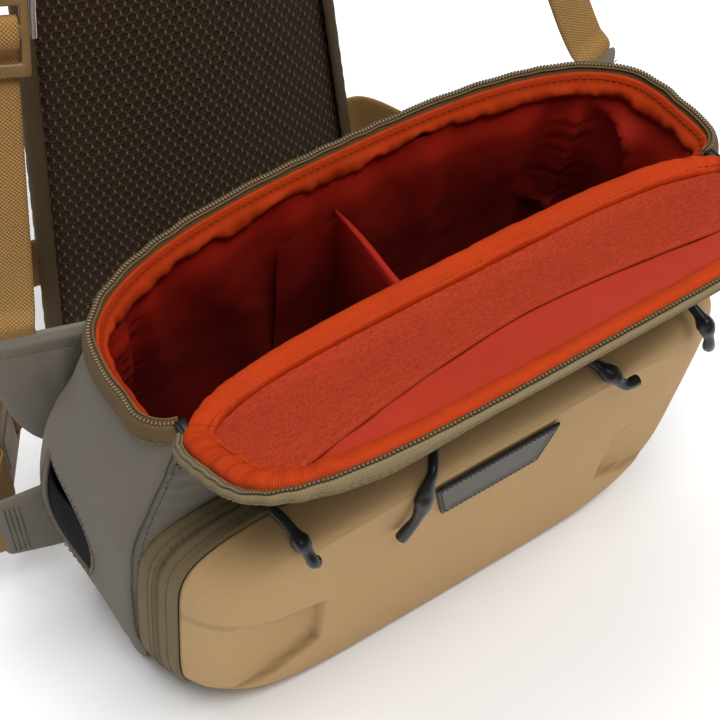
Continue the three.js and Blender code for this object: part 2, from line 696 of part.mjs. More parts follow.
const wingPlate = manifoldOf(standingPlate(WING_OUTLINE, MOUTH, WING_OUT, WING_THICK));
const MOUTH_DEPTH = 32;
const mouthSlot = slotBlock(
  [MOUTH.clone().setZ(MOUTH.z - MOUTH_DEPTH - GAP), MOUTH.clone().setZ(MOUTH.z + 20)], WING_OUT, WEB_WIDTH, WEB_THICK,
);
addPair('wing', geometryOf(wingPlate.subtract(bodyBlock).subtract(mouthSlot)), 'grey');

const tabEnd = TAB.root.clone().addScaledVector(TAB.out, TAB.length);
const tabPlate = manifoldOf(standingPlate([
  { x: TAB.root.x, z: TAB.z - TAB.height / 2 - 6 }, { x: tabEnd.x, z: TAB.z - TAB.height / 2 },
  { x: tabEnd.x, z: TAB.z + TAB.height / 2 }, { x: TAB.root.x, z: TAB.z + TAB.height / 2 + 8 },
], TAB.root, TAB.out, TAB.thick));
const tabInside = tabEnd.clone().addScaledVector(TAB.out, -22).setZ(TAB.z);
const tabSlot = slotBlock([
  tabInside.clone().addScaledVector(TAB.out, -GAP), tabEnd.clone().addScaledVector(TAB.out, 10).setZ(TAB.z),
], vec(0, 0, 1), SIDE_WEB_WIDTH, WEB_THICK);
addPair('side_tab', geometryOf(tabPlate.subtract(bodyBlock).subtract(tabSlot)), 'grey');

// Shoulder webbing: out of the wing, round the ladder lock's middle bar and back down behind itself
const LOCK = vec(-132, 116, 338);
const LOCK_UP = LOCK.clone().sub(MOUTH).normalize();
const LOCK_ACROSS = vec(0.98, -0.2, 0).addScaledVector(LOCK_UP, -vec(0.98, -0.2, 0).dot(LOCK_UP)).normalize();
const LOCK_FACE = LOCK_ACROSS.clone().cross(LOCK_UP);
const lockPlace = new THREE.Matrix4().makeBasis(LOCK_ACROSS, LOCK_UP, LOCK_FACE).setPosition(LOCK);

function inLock(along, height) {
  return vec(0, along, height).applyMatrix4(lockPlace);
}

const webRoute = [
  MOUTH.clone().setZ(MOUTH.z - MOUTH_DEPTH), MOUTH.clone().setZ(MOUTH.z - 8), MOUTH.clone().setZ(MOUTH.z + 5),
  inLock(-124, -0.8), inLock(-60, -2.2), inLock(-20, -3.1), inLock(-11, -3.1), inLock(-7, -0.5),
  inLock(-4, 2.4), inLock(-2, 3.1), inLock(4, 3.1), inLock(6.6, 1.9), inLock(7.2, -0.4), inLock(6.2, -2.6),
  inLock(3, -3.8), inLock(-11, -5.6), inLock(-50, -5.6), inLock(-78, -5.4),
];
const webAcross = webRoute.map((_, i) => (i < 3 ? WING_OUT.clone().negate() : LOCK_ACROSS));
addPair('shoulder_webbing', ribbon(webRoute, webAcross, same(WEB_WIDTH, webRoute), WEB_THICK), 'webbing');

// Ladder lock: a plastic frame with two slots
const LOCK_SIZE = { half: 17, low: -18, high: 17, thick: 3.6, slotHalf: 13.2, corner: 6 };

function roundedRect(left, right, low, high, r, path) {
  path.moveTo(left + r, low);
  path.lineTo(right - r, low);
  path.quadraticCurveTo(right, low, right, low + r);
  path.lineTo(right, high - r);
  path.quadraticCurveTo(right, high, right - r, high);
  path.lineTo(left + r, high);
  path.quadraticCurveTo(left, high, left, high - r);
  path.lineTo(left, low + r);
  path.quadraticCurveTo(left, low, left + r, low);
  return path;
}

function slottedPlate(outline, slots, thick) {
  outline.holes.push(...slots);
  const plate = new THREE.ExtrudeGeometry(outline, { depth: thick, bevelEnabled: false, curveSegments: 3 });
  plate.translate(0, 0, -thick / 2);
  return plate;
}

const { half, low, high, thick, slotHalf, corner } = LOCK_SIZE;
const lock = slottedPlate(roundedRect(-half, half, low, high, corner, new THREE.Shape()), [
  roundedRect(-slotHalf, slotHalf, -12, -2, 1, new THREE.Path()),
  roundedRect(-slotHalf, slotHalf, 4, 12, 1, new THREE.Path()),
], thick);
addPair('ladder_lock', lock.applyMatrix4(lockPlace), 'plastic');

// Wire bail beside the lock's upper half, and the webbing loop on it that ends the shoulder strap
const WIRE = 1.4;
const BAIL_TOP = 27;
const bailX = half + GAP + WIRE;
const bailRoute = new THREE.CatmullRomCurve3([
  vec(-bailX, -2, 0), vec(-bailX, 10, 0), vec(-bailX, BAIL_TOP - 6, 0), vec(-bailX + 3, BAIL_TOP, 0), vec(0, BAIL_TOP, 0),
  vec(bailX - 3, BAIL_TOP, 0), vec(bailX, BAIL_TOP - 6, 0), vec(bailX, 10, 0), vec(bailX, -2, 0),
]);
const wireRound = new THREE.Shape();
wireRound.absarc(0, 0, WIRE, 0, 2 * Math.PI);
const bail = new THREE.ExtrudeGeometry(wireRound, {
  steps: 14, curveSegments: ROUND_STEPS, extrudePath: bailRoute, bevelEnabled: false,
});
addPair('wire_bail', bail.applyMatrix4(lockPlace), 'wire');

const STRAP_THICK = 8;
const STRAP_WIDTH = 46;
const tabLeg = STRAP_THICK / 2 + 2 * GAP + WEB_THICK / 2;
const loopRoute = [
  inLock(56, -tabLeg), inLock(40, -tabLeg), inLock(32, -3.2), inLock(27, -3), inLock(24.6, -1.9), inLock(23.8, 0),
  inLock(24.6, 1.9), inLock(27, 3), inLock(32, 3.2), inLock(40, tabLeg), inLock(56, tabLeg),
];
addPair('strap_loop', ribbon(loopRoute, same(LOCK_ACROSS, loopRoute), same(WEB_WIDTH, loopRoute), WEB_THICK), 'webbing');

// Back panel: a padded plate bowed towards the pack, narrower at the top
const PANEL_FOOT = 2.6;
const PANEL_HALF = { foot: 114, top: 78 };
const PANEL_CORNER = 30;
const PANEL_LEVELS = [0, 0.012, 0.035, 0.1, 0.3, 0.5, 0.7, 0.9, 0.965, 0.988, 1];
const PANEL_COLUMNS = 10;

function panelHalf(z) {
  const share = (z - PANEL_FOOT) / (PANEL_HEIGHT - PANEL_FOOT);
  const straight = THREE.MathUtils.lerp(PANEL_HALF.foot, PANEL_HALF.top, share);
  const inside = Math.min(z - PANEL_FOOT, PANEL_HEIGHT - z, PANEL_CORNER);
  const short = (PANEL_CORNER - inside) / PANEL_CORNER;
  return straight - PANEL_CORNER * (1 - Math.sqrt(1 - short * short));
}

// A point of the panel: x along its bow, height, and depth behind its front face.
function panelPoint(x, z, depth) {
  const angle = x / PANEL_RADIUS;
  const radius = PANEL_RADIUS - depth;
  const y = PANEL_FRONT_Y + PANEL_RADIUS - radius * Math.cos(angle) + PANEL_LEAN * z;
  return vec(radius * Math.sin(angle), y, z);
}

const panelRings = PANEL_LEVELS.map((share) => {
  const z = THREE.MathUtils.lerp(PANEL_FOOT, PANEL_HEIGHT, share);
  const reach = panelHalf(z);
  const row = (depth) => Array.from({ length: PANEL_COLUMNS + 1 }, (_, i) => (
    panelPoint(reach * (2 * i / PANEL_COLUMNS - 1), z, depth)
  ));
  return [...row(0), ...row(PANEL_THICK).reverse()];
});
addPiece('back_panel', loft(panelRings, { strip: true }), 'mesh');

// Binding folded over the panel's edge
const BINDING = { reach: 8, thick: 1.5, clear: 1.8, points: 32 };
const EDGE_STEPS = 240;
const rightEdge = Array.from({ length: EDGE_STEPS + 1 }, (_, i) => {
  const share = (1 - Math.cos((Math.PI * i) / EDGE_STEPS)) / 2;
  const z = THREE.MathUtils.lerp(PANEL_FOOT, PANEL_HEIGHT, share);
  return new THREE.Vector2(panelHalf(z), z);
});
const leftEdge = rightEdge.map((p) => new THREE.Vector2(-p.x, p.y)).reverse();
const panelEdge = [
  new THREE.Vector2(0, PANEL_FOOT), ...rightEdge, new THREE.Vector2(0, PANEL_HEIGHT), ...leftEdge,
];
const edgePath = respace(panelEdge, BINDING.points, TURN_LENGTH, true);
const bindingStations = edgePath.map((p, i) => {
  const before = edgePath[(i + BINDING.points - 1) % BINDING.points];
  const after = edgePath[(i + 1) % BINDING.points];
  const out = new THREE.Vector2(after.y - before.y, before.x - after.x).normalize();
  const angle = p.x / PANEL_RADIUS;
  return {
    place: panelPoint(p.x, p.y, PANEL_THICK / 2),
    out: vec(out.x * Math.cos(angle), out.x * Math.sin(angle) + out.y * PANEL_LEAN, out.y),
    up: vec(-Math.sin(angle), Math.cos(angle), 0),
  };
});
const innerUp = PANEL_THICK / 2 + BINDING.clear;
const outerUp = innerUp + BINDING.thick;
const innerOut = 3 * GAP;
const outerOut = innerOut + BINDING.thick;
addPiece('back_binding', sweep(bindingStations, [
  [-BINDING.reach, outerUp], [outerOut, outerUp], [outerOut, -outerUp], [-BINDING.reach, -outerUp],
  [-BINDING.reach, -innerUp], [innerOut, -innerUp], [innerOut, innerUp], [-BINDING.reach, innerUp],
], { loop: true }), 'olive');

// Padded shoulder strap: up from the loop, over, and down behind the top of the back panel
const STRAP_X = -34;
const strapBehind = PANEL_THICK + BINDING.clear + BINDING.thick + 1.6 + STRAP_THICK / 2;
const strapAlong = new THREE.CatmullRomCurve3([
  inLock(41, 0), inLock(52, 0), inLock(66, 0), vec(-96, 156, 428), vec(-80, 190, 447), vec(-61, 222, 436),
  vec(-44, 238, 402), panelPoint(STRAP_X, 366, strapBehind + 2), panelPoint(STRAP_X, 338, strapBehind),
  panelPoint(STRAP_X, 312, strapBehind),
]);
const STRAP_STEPS = 20;
const STRAP_STRAIGHT = 3;
const strapRoute = strapAlong.getSpacedPoints(STRAP_STEPS);
const strapEndAcross = vec(1, STRAP_X / PANEL_RADIUS, 0).normalize();
const strapAcross = strapRoute.map((_, i) => {
  const share = Math.max(i - STRAP_STRAIGHT, 0) / (STRAP_STEPS - STRAP_STRAIGHT - 3);
  return LOCK_ACROSS.clone().lerp(strapEndAcross, Math.min(share, 1));
});
const strapWidths = strapRoute.map((_, i) => WEB_WIDTH + 3 + (STRAP_WIDTH - WEB_WIDTH - 3) * Math.min(i / 4, 1));
addPair('shoulder_strap', ribbon(strapRoute, strapAcross, strapWidths, STRAP_THICK), 'grey');

// Side strap from the tab to the buckle, the fastened buckle, and the strap on to the back panel
const BUCKLE = { at: vec(-170, 128, TAB.z), half: 26, height: 50, thick: 8, slotFrom: 15, slotTo: 22, corner: 7 };
const STRAP_END = vec(-118, 212, TAB.z);
const BUCKLE_RUN = STRAP_END.clone().sub(BUCKLE.at).normalize();
const BUCKLE_FACE = BUCKLE_RUN.clone().cross(vec(0, 0, 1));
const bucklePlace = new THREE.Matrix4().makeBasis(BUCKLE_RUN, vec(0, 0, 1), BUCKLE_FACE).setPosition(BUCKLE.at);
const slotTall = SIDE_WEB_WIDTH / 2 + 1;
const buckleOutline = roundedRect(
  -BUCKLE.half, BUCKLE.half, -BUCKLE.height / 2, BUCKLE.height / 2, BUCKLE.corner, new THREE.Shape(),
);
const buckle = slottedPlate(buckleOutline, [
  roundedRect(-BUCKLE.slotTo, -BUCKLE.slotFrom, -slotTall, slotTall, 1, new THREE.Path()),
  roundedRect(BUCKLE.slotFrom, BUCKLE.slotTo, -slotTall, slotTall, 1, new THREE.Path()),
], BUCKLE.thick);
addPair('side_buckle', buckle.applyMatrix4(bucklePlace), 'plastic');

function inBuckle(along, height) {
  return vec(along, 0, height).applyMatrix4(bucklePlace);
}

// The strap's end folded round the buckle's bar, on one end of the buckle.
const barLeg = BUCKLE.thick / 2 + GAP + WEB_THICK / 2 + 0.2;
function barTurn(end) {
  return [
    inBuckle(end * 44, 1.2), inBuckle(end * 27, barLeg), inBuckle(end * 21, barLeg), inBuckle(end * 18.6, 3.4),
    inBuckle(end * 18.6, -3.4), inBuckle(end * 21, -barLeg), inBuckle(end * 27, -barLeg), inBuckle(end * 42, -1.6),
  ];
}

const tabRoute = [
  tabInside, tabEnd.clone().setZ(TAB.z), vec(-204.5, 79, TAB.z), vec(-208, 83, TAB.z), vec(-206, 88, TAB.z),
  vec(-199.5, 89.6, TAB.z),
];
const sideRoute = [...tabRoute, ...barTurn(-1)];
addPair('side_strap', ribbon(
  sideRoute, same(vec(0, 0, 1), sideRoute), same(SIDE_WEB_WIDTH, sideRoute), WEB_THICK,
), 'webbing');

const behindPanel = PANEL_THICK / 2 + outerUp + 2 + WEB_THICK / 2;
const backRoute = [
  panelPoint(-84, TAB.z, behindPanel), panelPoint(-104, TAB.z, behindPanel), panelPoint(-116, TAB.z, behindPanel - 2),
  panelPoint(-128, TAB.z, 8), ...barTurn(1),
];
addPair('back_strap', ribbon(
  backRoute, same(vec(0, 0, 1), backRoute), same(SIDE_WEB_WIDTH, backRoute), WEB_THICK,
), 'webbing');

// The origin goes to the middle of the base.
for (const mesh of pack.children) {
  mesh.geometry.translate(0, -BASE_MID_Y, 0);
}

export default pack;
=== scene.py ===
"""Looks for the chest pack: cloth, zips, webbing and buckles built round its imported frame."""

import math

import bmesh
import bpy
import numpy as np
from mathutils import Matrix, Vector, noise


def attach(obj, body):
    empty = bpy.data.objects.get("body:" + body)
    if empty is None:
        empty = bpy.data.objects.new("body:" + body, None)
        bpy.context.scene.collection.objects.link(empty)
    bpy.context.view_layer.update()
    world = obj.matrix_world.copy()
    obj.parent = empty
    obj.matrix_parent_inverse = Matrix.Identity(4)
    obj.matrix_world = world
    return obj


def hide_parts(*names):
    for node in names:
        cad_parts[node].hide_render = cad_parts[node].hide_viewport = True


bl_info = {
    "name": "Chest pack",
    "version": (1, 0, 0),
    "blender": (4, 5, 0),
    "location": "View3D > Sidebar > Chest pack",
    "description": "Dresses the chest pack's frame with cloth, zips, webbing and buckles",
    "category": "Mesh",
}

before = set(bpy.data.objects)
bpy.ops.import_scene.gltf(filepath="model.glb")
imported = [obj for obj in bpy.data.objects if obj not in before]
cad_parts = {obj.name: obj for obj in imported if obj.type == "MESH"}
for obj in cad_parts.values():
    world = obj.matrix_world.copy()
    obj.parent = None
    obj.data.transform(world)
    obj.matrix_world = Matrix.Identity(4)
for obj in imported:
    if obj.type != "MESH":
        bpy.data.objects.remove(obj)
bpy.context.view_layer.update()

# Sizes shared with the frame, in millimetres; y is counted from a line 43 mm in front of the middle of the base
BASE_MID_Y = 43.0
RIM_Z = 250.0
SHELL_TOP_Z = 236.0
HINGE_Y = -37.0
ZIP_END_Y = -33.0
LID_TILT = math.radians(32)
LID_BEND = 12.0
LID_DEPTH = 12.5
LID_FOAM, LID_CLOTH = 7.0, 1.3
SEAM_GAP = 0.3
LINING_TOP = -LID_DEPTH + LID_FOAM + SEAM_GAP + LID_CLOTH
POCKET_LEAN = 0.16
POCKET_LEAN_Z = 175.0
POCKET_FACE_Y = -70.5
WEB_WIDTH = 25.0
SIDE_WEB_WIDTH = 38.0
WEB_THICK = 1.8
PANEL_HEIGHT = 350.0
PANEL_FOOT = 2.6
PANEL_THICK = 12.0
PANEL_FRONT_Y = 185.0
PANEL_RADIUS = 250.0
PANEL_LEAN = math.tan(math.radians(3.5))
PANEL_HALF = (114.0, 78.0)
PANEL_CORNER = 30.0
# Room behind the panel for its edge tape
PANEL_EDGE = 3.3
SIDES = ((-1, "left"), (1, "right"))

# Sizes of the looks alone, in millimetres
TUB_TOP_Z = 242.0
HEM_Z = 219.0
TUB_CLOTH, HINGE_CLOTH, BAND_CLOTH = 2.0, 1.5, 1.6
SLOT_Y, SLOT_Z = 37.0, 121.0
SLOT_LENGTH, SLOT_WIDTH = 84.0, 24.0
SLOT_LEAN, SLOT_GAPE = 0.2, 8.5
LID_ZIP_END = 4.0
PILE_INSET = 11.5
# Half width and height of the foot and top of the patch, and of the stitches round it
PATCH = ((28.0, 134.0), (35.0, 163.0))
PATCH_STITCHES = ((26.4, 135.6), (33.0, 161.4))
# Width of the patch's sides that get painted shade
PATCH_SHADED_SIDE = 0.75

# Columns: z, half, back, front, mid, back power, front power
BODY = np.array([
    (0, 146, 82, 4, 40, 5.5, 6), (5, 154, 87, -1, 40, 5.5, 7), (18, 160, 89, -4, 40, 5.5, 8),
    (90, 168, 83, -15, 35, 5.5, 9), (158, 168.5, 75, -27, 15, 5, 9), (200, 160, 69.5, -33, 8, 3.8, 8),
    (236, 151, 65, -37, 4, 2.8, 7)], float)
LINING = np.array([
    (3, 126, 76, 10, 40, 4, 6), (16, 138, 84, 2, 40, 4, 7), (120, 146, 76, -16, 28, 4, 7),
    (200, 147, 66, -29.5, 8, 3.2, 7), (236, 148, 62, -34, 4, 2.8, 7)], float)
RIM = (150, 64.5, -37, 3, 2.7, 7)
LID = (147, 105, -18, 42, 3.8, 4)
# Columns: y, half, top, bottom
POCKET = np.array([
    (-47.3, 153, 179, 1.5), (-55, 148, 178, 1.8), (-63, 138, 175.5, 3), (-68, 127, 172, 5), (-70.5, 115, 168, 9)])
POCKET_MID_Z, POCKET_TOP_POWER, POCKET_FOOT_POWER = 88, 7, 5
# Corners of the sunk flat, seen from the front: x, z
FLAT = np.array([(90, 92), (90, 52), (120, 35), (176, 18), (176, 125)], float)
FLAT_FLOOR_Y = -64.2
# Columns: name, slider x, tip x, tip z
PULLS = (("left", -108, -101, 169), ("mid_left", -20, -53, 140), ("mid_right", 49, 76, 170), ("right", 116, 123, 162))


def srgb(red, green, blue):
    """A colour given as on a screen, from 0 to 255, as the light it sends back."""
    return tuple(((c / 255 + 0.055) / 1.055) ** 2.4 if c > 10 else c / 255 / 12.92 for c in (red, green, blue))


def colour_prop(name, words, colour):
    return bpy.props.FloatVectorProperty(
        name=name, description=words, subtype="COLOR", size=3, min=0, max=1, default=srgb(*colour))


def size_prop(name, words, value):
    return bpy.props.FloatProperty(name=name, description=words, subtype="DISTANCE", unit="LENGTH", default=value)


class PackColours(bpy.types.PropertyGroup):
    """Colours of the pack's cloths and trims."""
    grey: colour_prop("Outer cloth", "Grey cloth of the tub, lid, wings and straps", (113, 106, 95))
    lining: colour_prop("Lid lining", "Cloth inside the lid", (160, 44, 24))
    # The compartment's lining colour is set darker than the lid's lining: painted shade for the dim compartment
    deep: colour_prop("Compartment lining", "Cloth inside the compartment", (134, 22, 7))
    bright: colour_prop("Binding", "Puffed tape round the lid and rim", (168, 53, 15))
    loop: colour_prop("Loop panel", "Fuzzy panel inside the lid", (164, 54, 30))
    olive: colour_prop("Zip tape", "Tape of the lid's and the pocket's zips", (115, 100, 72))
    edge: colour_prop("Edge tape", "Tape of the rim's zip and round the back panel", (92, 72, 44))
    coil: colour_prop("Zip coil", "Teeth of the zips", (82, 66, 40))
    tan: colour_prop("Moulded cloth", "Face of the front pocket", (190, 155, 108))
    webbing: colour_prop("Webbing", "Shoulder and side webbing", (156, 118, 66))
    plastic: colour_prop("Plastic", "Strap locks and buckles", (112, 84, 44))
    # The dark hollow colour is painted shade in the mesh's cells
    mesh: colour_prop("Mesh hollow", "Hollows of the back panel's mesh", (48, 35, 23))
    mesh_rib: colour_prop("Mesh rib", "Ribs of the back panel's mesh", (132, 104, 76))
    rubber: colour_prop("Rubber", "Zip pulls, sliders and slot sleeves", (14, 14, 15))
    patch: colour_prop("Patch", "Bare patch on the front pocket", (90, 85, 79))


class PackSizes(bpy.types.PropertyGroup):
    """Small sizes of the cloths and trims."""
    tooth_pitch: size_prop("Tooth pitch", "From one zip tooth to the next", 0.00165)
    stitch: size_prop("Stitch", "Length of one stitch with its gap", 0.0036)
    weave: size_prop("Weave", "From one yarn of the outer cloth to the next", 0.0007)
    web_row: size_prop("Webbing row", "From one row of the webbing to the next", 0.0017)
    mesh_cell: size_prop("Mesh cell", "From one cell of the back panel's mesh to the next", 0.0056)
    gather: size_prop("Gather", "How far the gathers of the bindings stand out", 0.0007)


# Curves and surfaces in millimetres

def metres(points):
    """Points of the pack in the frame's metres."""
    return (np.asarray(points, float) - (0, BASE_MID_Y, 0)) * 0.001


def chosen_size(key):
    """One of the pack's small sizes, in millimetres."""
    return getattr(bpy.context.scene.pack_sizes, key) * 1000


def unit(v):
    """Directions made one long."""
    return v / np.maximum(np.linalg.norm(v, axis=-1, keepdims=True), 1e-9)


def glide(xs, ys, at):
    """A smooth curve through a short table that never swings past its rows."""
    xs, ys, at = np.asarray(xs, float), np.asarray(ys, float), np.asarray(at, float)
    step = np.diff(xs)
    slope = np.diff(ys) / step
    tilt = np.zeros_like(ys)
    tilt[0], tilt[-1] = slope[0], slope[-1]
    product = slope[:-1] * slope[1:]
    tilt[1:-1] = np.where(product > 0, 2 * product / np.where(product > 0, slope[:-1] + slope[1:], 1), 0)
    k = np.clip(np.searchsorted(xs, at, side="right") - 1, 0, len(step) - 1)
    h = step[k]
    t = np.clip((at - xs[k]) / h, 0, 1)
    return ((1 + 2 * t) * (1 - t) ** 2 * ys[k] + t * (1 - t) ** 2 * h * tilt[k]
            + t * t * (3 - 2 * t) * ys[k + 1] + t * t * (t - 1) * h * tilt[k + 1])


def lengths(path):
    """How far along a path each of its points lies."""
    return np.concatenate([[0], np.cumsum(np.linalg.norm(np.diff(path, axis=0), axis=1))])


def sampled(path, far, at):
    """Points of a path at some lengths along it."""
    return np.stack([np.interp(at, far, column) for column in np.transpose(path)], -1)


def even(path, count):
    """The path again, in equal steps."""
    path = np.asarray(path, float)
    far = lengths(path)
    return sampled(path, far, np.linspace(0, far[-1], count))


def flowing(points, count):
    """A smooth path through a few points, in equal steps."""
    points = np.asarray(points, float)
    far = lengths(points)
    fine = np.linspace(0, far[-1], 40 * len(points))
    return even(np.stack([glide(far, points[:, k], fine) for k in range(3)], 1), count)


def oval(row, count, grow=0.0):
    """A closed oval in equal steps from the middle of its back, with its first point again at the end."""
    half, back, front, mid, back_power, front_power = row
    angle = np.linspace(0, 2 * math.pi, 1441)
    s, c = np.sin(angle), np.cos(angle)
    power = np.where(c >= 0, 2 / back_power, 2 / front_power)
    depth = np.where(c >= 0, back - mid + grow, mid - front + grow)
    x = (half + grow) * np.sign(s) * np.abs(s) ** power
    y = mid + depth * np.sign(c) * np.abs(c) ** power
    return even(np.stack([x, y], 1), count + 1)


def section(table, z):
    """One row of a table of sections at a height."""
    return tuple(float(glide(table[:, 0], table[:, k], z)) for k in range(1, table.shape[1]))


def arch(inside, power):
    """Height of a quarter of an oval: 1 in its middle, 0 at its end."""
    return (1 - inside ** power) ** (1 / power)


def front_of(table, x, z):
    """How far forward a section's front wall lies at one x and height."""
    half, _, front, mid, _, power = section(table, z)
    return mid - (mid - front) * arch(min(abs(x) / half, 1.0), power)


def back_of(table, x, z):
    """How far back a section's back wall lies at one x and height."""
    half, back, _, mid, power, _ = section(table, z)
    return mid + (back - mid) * arch(min(abs(x) / half, 1.0), power)


def lofted(table, heights, count, grow=0.0):
    """Rows of points round a table's sections, one row for each height."""
    rings = [oval(section(table, z), count, grow) for z in heights]
    return np.array([np.column_stack([ring, np.full(count + 1, z)]) for ring, z in zip(rings, heights)])


def base_rings(edge, shares):
    """Rings that close a flat base inside its edge."""
    middle = np.array([0, BASE_MID_Y, edge[0, 2]])
    return np.array([middle + (edge - middle) * share for share in shares])


def apart(rows, line):
    """How far the points of each row lie from that row's point on a line."""
    return np.linalg.norm(rows - line[:, None], axis=2)


def rolling(points, size, seed):
    """Soft noise from -1 to 1 at each point, with lumps of a size."""
    flat = np.asarray(points, float).reshape(-1, 3) / size + seed * 17.3
    return np.array([noise.noise(p) for p in flat.tolist()]).reshape(np.shape(points)[:-1])


def drift(far, size, seed, level=0.5):
    """Soft noise from -1 to 1 along a length."""
    return np.array([noise.noise((s / size, seed, level)) for s in far])


def wave(x, period, shift=0.0):
    """Even waves from -1 to 1."""
    return np.sin(x * 2 * math.pi / period + shift)


def facing(rows, away_from):
    """Outward directions of a surface's points."""
    along = np.gradient(rows, axis=0)
    across = np.gradient(rows, axis=1)
    n = unit(np.cross(across, along))
    sign = np.sign((n * (rows - away_from)).sum(-1, keepdims=True).mean())
    return n * (sign if sign else 1)


def bump(distance, width):
    """1 at no distance, fading to 0 over about twice a width."""
    return np.exp(-(np.asarray(distance) / width) ** 2)


def ease(x, low, high):
    """0 below low, 1 above high, smooth between."""
    t = np.clip((np.asarray(x, float) - low) / (high - low), 0, 1)
    return t * t * (3 - 2 * t)


def leaning(points):
    """Pocket points leaned back towards their foot."""
    out = np.array(points, float)
    out[..., 1] += POCKET_LEAN * (POCKET_LEAN_Z - out[..., 2])
    return out


def lid_point(x, d, n):
    """A point of the lid: x across, d from the hinge along its bent surface, n above that surface."""
    x, d, n = np.broadcast_arrays(*[np.asarray(v, float) for v in (x, d, n)])
    radius = 2 * LID_BEND / LID_TILT
    angle = LID_TILT * np.clip((d + LID_BEND) / (2 * LID_BEND), 0, 1)
    beyond = np.where(d > LID_BEND, d - LID_BEND, np.minimum(d + LID_BEND, 0))
    y = HINGE_Y + LID_BEND - radius * np.sin(angle) - beyond * np.cos(angle)
    z = RIM_Z + radius * (1 - np.cos(angle)) + beyond * np.sin(angle)
    return np.stack([x, y + n * np.sin(angle), z + n * np.cos(angle)], -1)


def lid_reach(x, grow):
    """Where the lid's outline starts and ends at each x, counted from the hinge."""
    half, back, front, mid, back_power, front_power = LID
    inside = np.minimum(np.abs(x) / (half + grow), 1)
    near = (mid - front + grow) * arch(inside, front_power)
    return mid - near, mid + (back - mid + grow) * arch(inside, back_power)


def heading(path, closed):
    """Steps along a path; on a closed one the first and last agree."""
    run = np.gradient(path, axis=0)
    if closed:
        run[0] = run[-1] = path[1] - path[-2]
    return run


def ring_stations(row, count, from_y=None):
    """Places and outward directions round an oval, or from one end of its zip round the back to the other."""
    path = oval(row, 1440)[:-1]
    if from_y is None:
        path = even(np.concatenate([path, path[:1]]), count)
    else:
        right = int(np.argmax((path[:, 0] > 0) & (path[:, 1] < from_y))) - 1
        path = even(np.concatenate([path[-right:], path[:right + 1]])[::-1], count)
    run = heading(path, from_y is None)
    out = unit(np.stack([run[:, 1], -run[:, 0]], 1))
    out *= np.sign(((path - (0, row[3])) * out).sum(1, keepdims=True))
    return path, out


# Meshes

class Piece:
    """Points, faces and texture places of one piece, in millimetres."""

    def __init__(self):
        self.points, self.faces, self.places, self.count = [], [], [], 0

    def grid(self, rows):
        """A sheet through rows of points; its texture places are lengths along it."""
        rows = np.asarray(rows, float)
        high, wide = rows.shape[:2]
        across = np.concatenate([[0], np.cumsum(np.linalg.norm(np.diff(rows, axis=1), axis=2).mean(0))])
        along = np.concatenate([[0], np.cumsum(np.linalg.norm(np.diff(rows, axis=0), axis=2).mean(1))])
        r, c = (a.ravel() for a in np.mgrid[0:high - 1, 0:wide - 1])
        first = r * wide + c + self.count
        self.faces += np.stack([first, first + 1, first + wide + 1, first + wide], 1).tolist()
        u = np.stack([across[c], across[c + 1], across[c + 1], across[c]], 1)
        v = np.stack([along[r], along[r], along[r + 1], along[r + 1]], 1)
        self.places += np.stack([u, v], -1).reshape(-1, 2).tolist()
        self.points.append(rows.reshape(-1, 3))
        self.count += high * wide
        return self

    def cap(self, ring):
        """One face over a ring of points."""
        ring = np.asarray(ring, float)
        self.faces.append(list(range(self.count, self.count + len(ring))))
        self.places += ring[:, :2].tolist()
        self.points.append(ring)
        self.count += len(ring)
        return self

    def tube(self, rings, capped=True):
        """A closed ring of points carried along; each ring ends where it starts."""
        self.grid(rings)
        if capped:
            self.cap(rings[0][:-1])
            self.cap(rings[-1][:-1])
        return self

    def box(self, first, second):
        """Two sheets of one grid, joined along their four edges."""
        self.grid(first).grid(second)
        for edge in (np.s_[0], np.s_[-1], np.s_[:, 0], np.s_[:, -1]):
            self.grid([first[edge], second[edge]])
        return self

    def make(self, name, finish, slot, *stands_for, mirror=False):
        """The piece as an object in the scene, with its finish and its place in the frame."""
        points = np.concatenate(self.points) * ((-1, 1, 1) if mirror else (1, 1, 1))
        mesh = bpy.data.meshes.new(name)
        mesh.from_pydata(metres(points).tolist(), [], self.faces)
        layer = mesh.uv_layers.new(name="cloth")
        layer.data.foreach_set("uv", (np.array(self.places) * 0.001).ravel())
        shape = bmesh.new()
        shape.from_mesh(mesh)
        bmesh.ops.remove_doubles(shape, verts=shape.verts, dist=2e-6)
        bmesh.ops.recalc_face_normals(shape, faces=shape.faces)
        shape.to_mesh(mesh)
        shape.free()
        mesh.polygons.foreach_set("use_smooth", [True] * len(mesh.polygons))
        obj = bpy.data.objects.new(name, mesh)
        bpy.context.scene.collection.objects.link(obj)
        return settle(obj, finish, slot, *stands_for)


def settle(obj, finish, slot, *stands_for):
    """Gives a piece its finish and fixes it to the frame in place of its plain solids."""
    obj.data.materials.clear()
    obj.data.materials.append(finish_named(finish))
    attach(obj, "root")
    if stands_for:
        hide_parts(*stands_for)
    return obj


def only(obj):
    """Selects one piece alone."""
    bpy.ops.object.select_all(action="DESELECT")
    obj.select_set(True)
    bpy.context.view_layer.objects.active = obj


def primitive(add, name, size=1, **settings):
    """Adds one of Blender's simple meshes, selected alone, under a piece's name."""
    bpy.ops.object.select_all(action="DESELECT")
    add(size=size, **settings)
    obj = bpy.context.object
    obj.name = obj.data.name = name
    return obj


def smooth_by_angle(obj, degrees):
    """Shades a piece smooth, apart from its sharper edges."""
    only(obj)
    bpy.ops.object.shade_smooth_by_angle(angle=math.radians(degrees))


def applied(obj, kind, **settings):
    """Adds a modifier with its settings and applies it."""
    only(obj)
    modifier = obj.modifiers.new(kind.title(), kind)
    for key, value in settings.items():
        setattr(modifier, key, value)
    bpy.ops.object.modifier_apply(modifier=modifier.name)
    return obj


def bevelled(obj, width, segments, degrees):
    """Rounds a piece's edges that are sharper than an angle."""
    applied(obj, "BEVEL", width=width * 0.001, segments=segments, limit_method="ANGLE",
            angle_limit=math.radians(degrees))


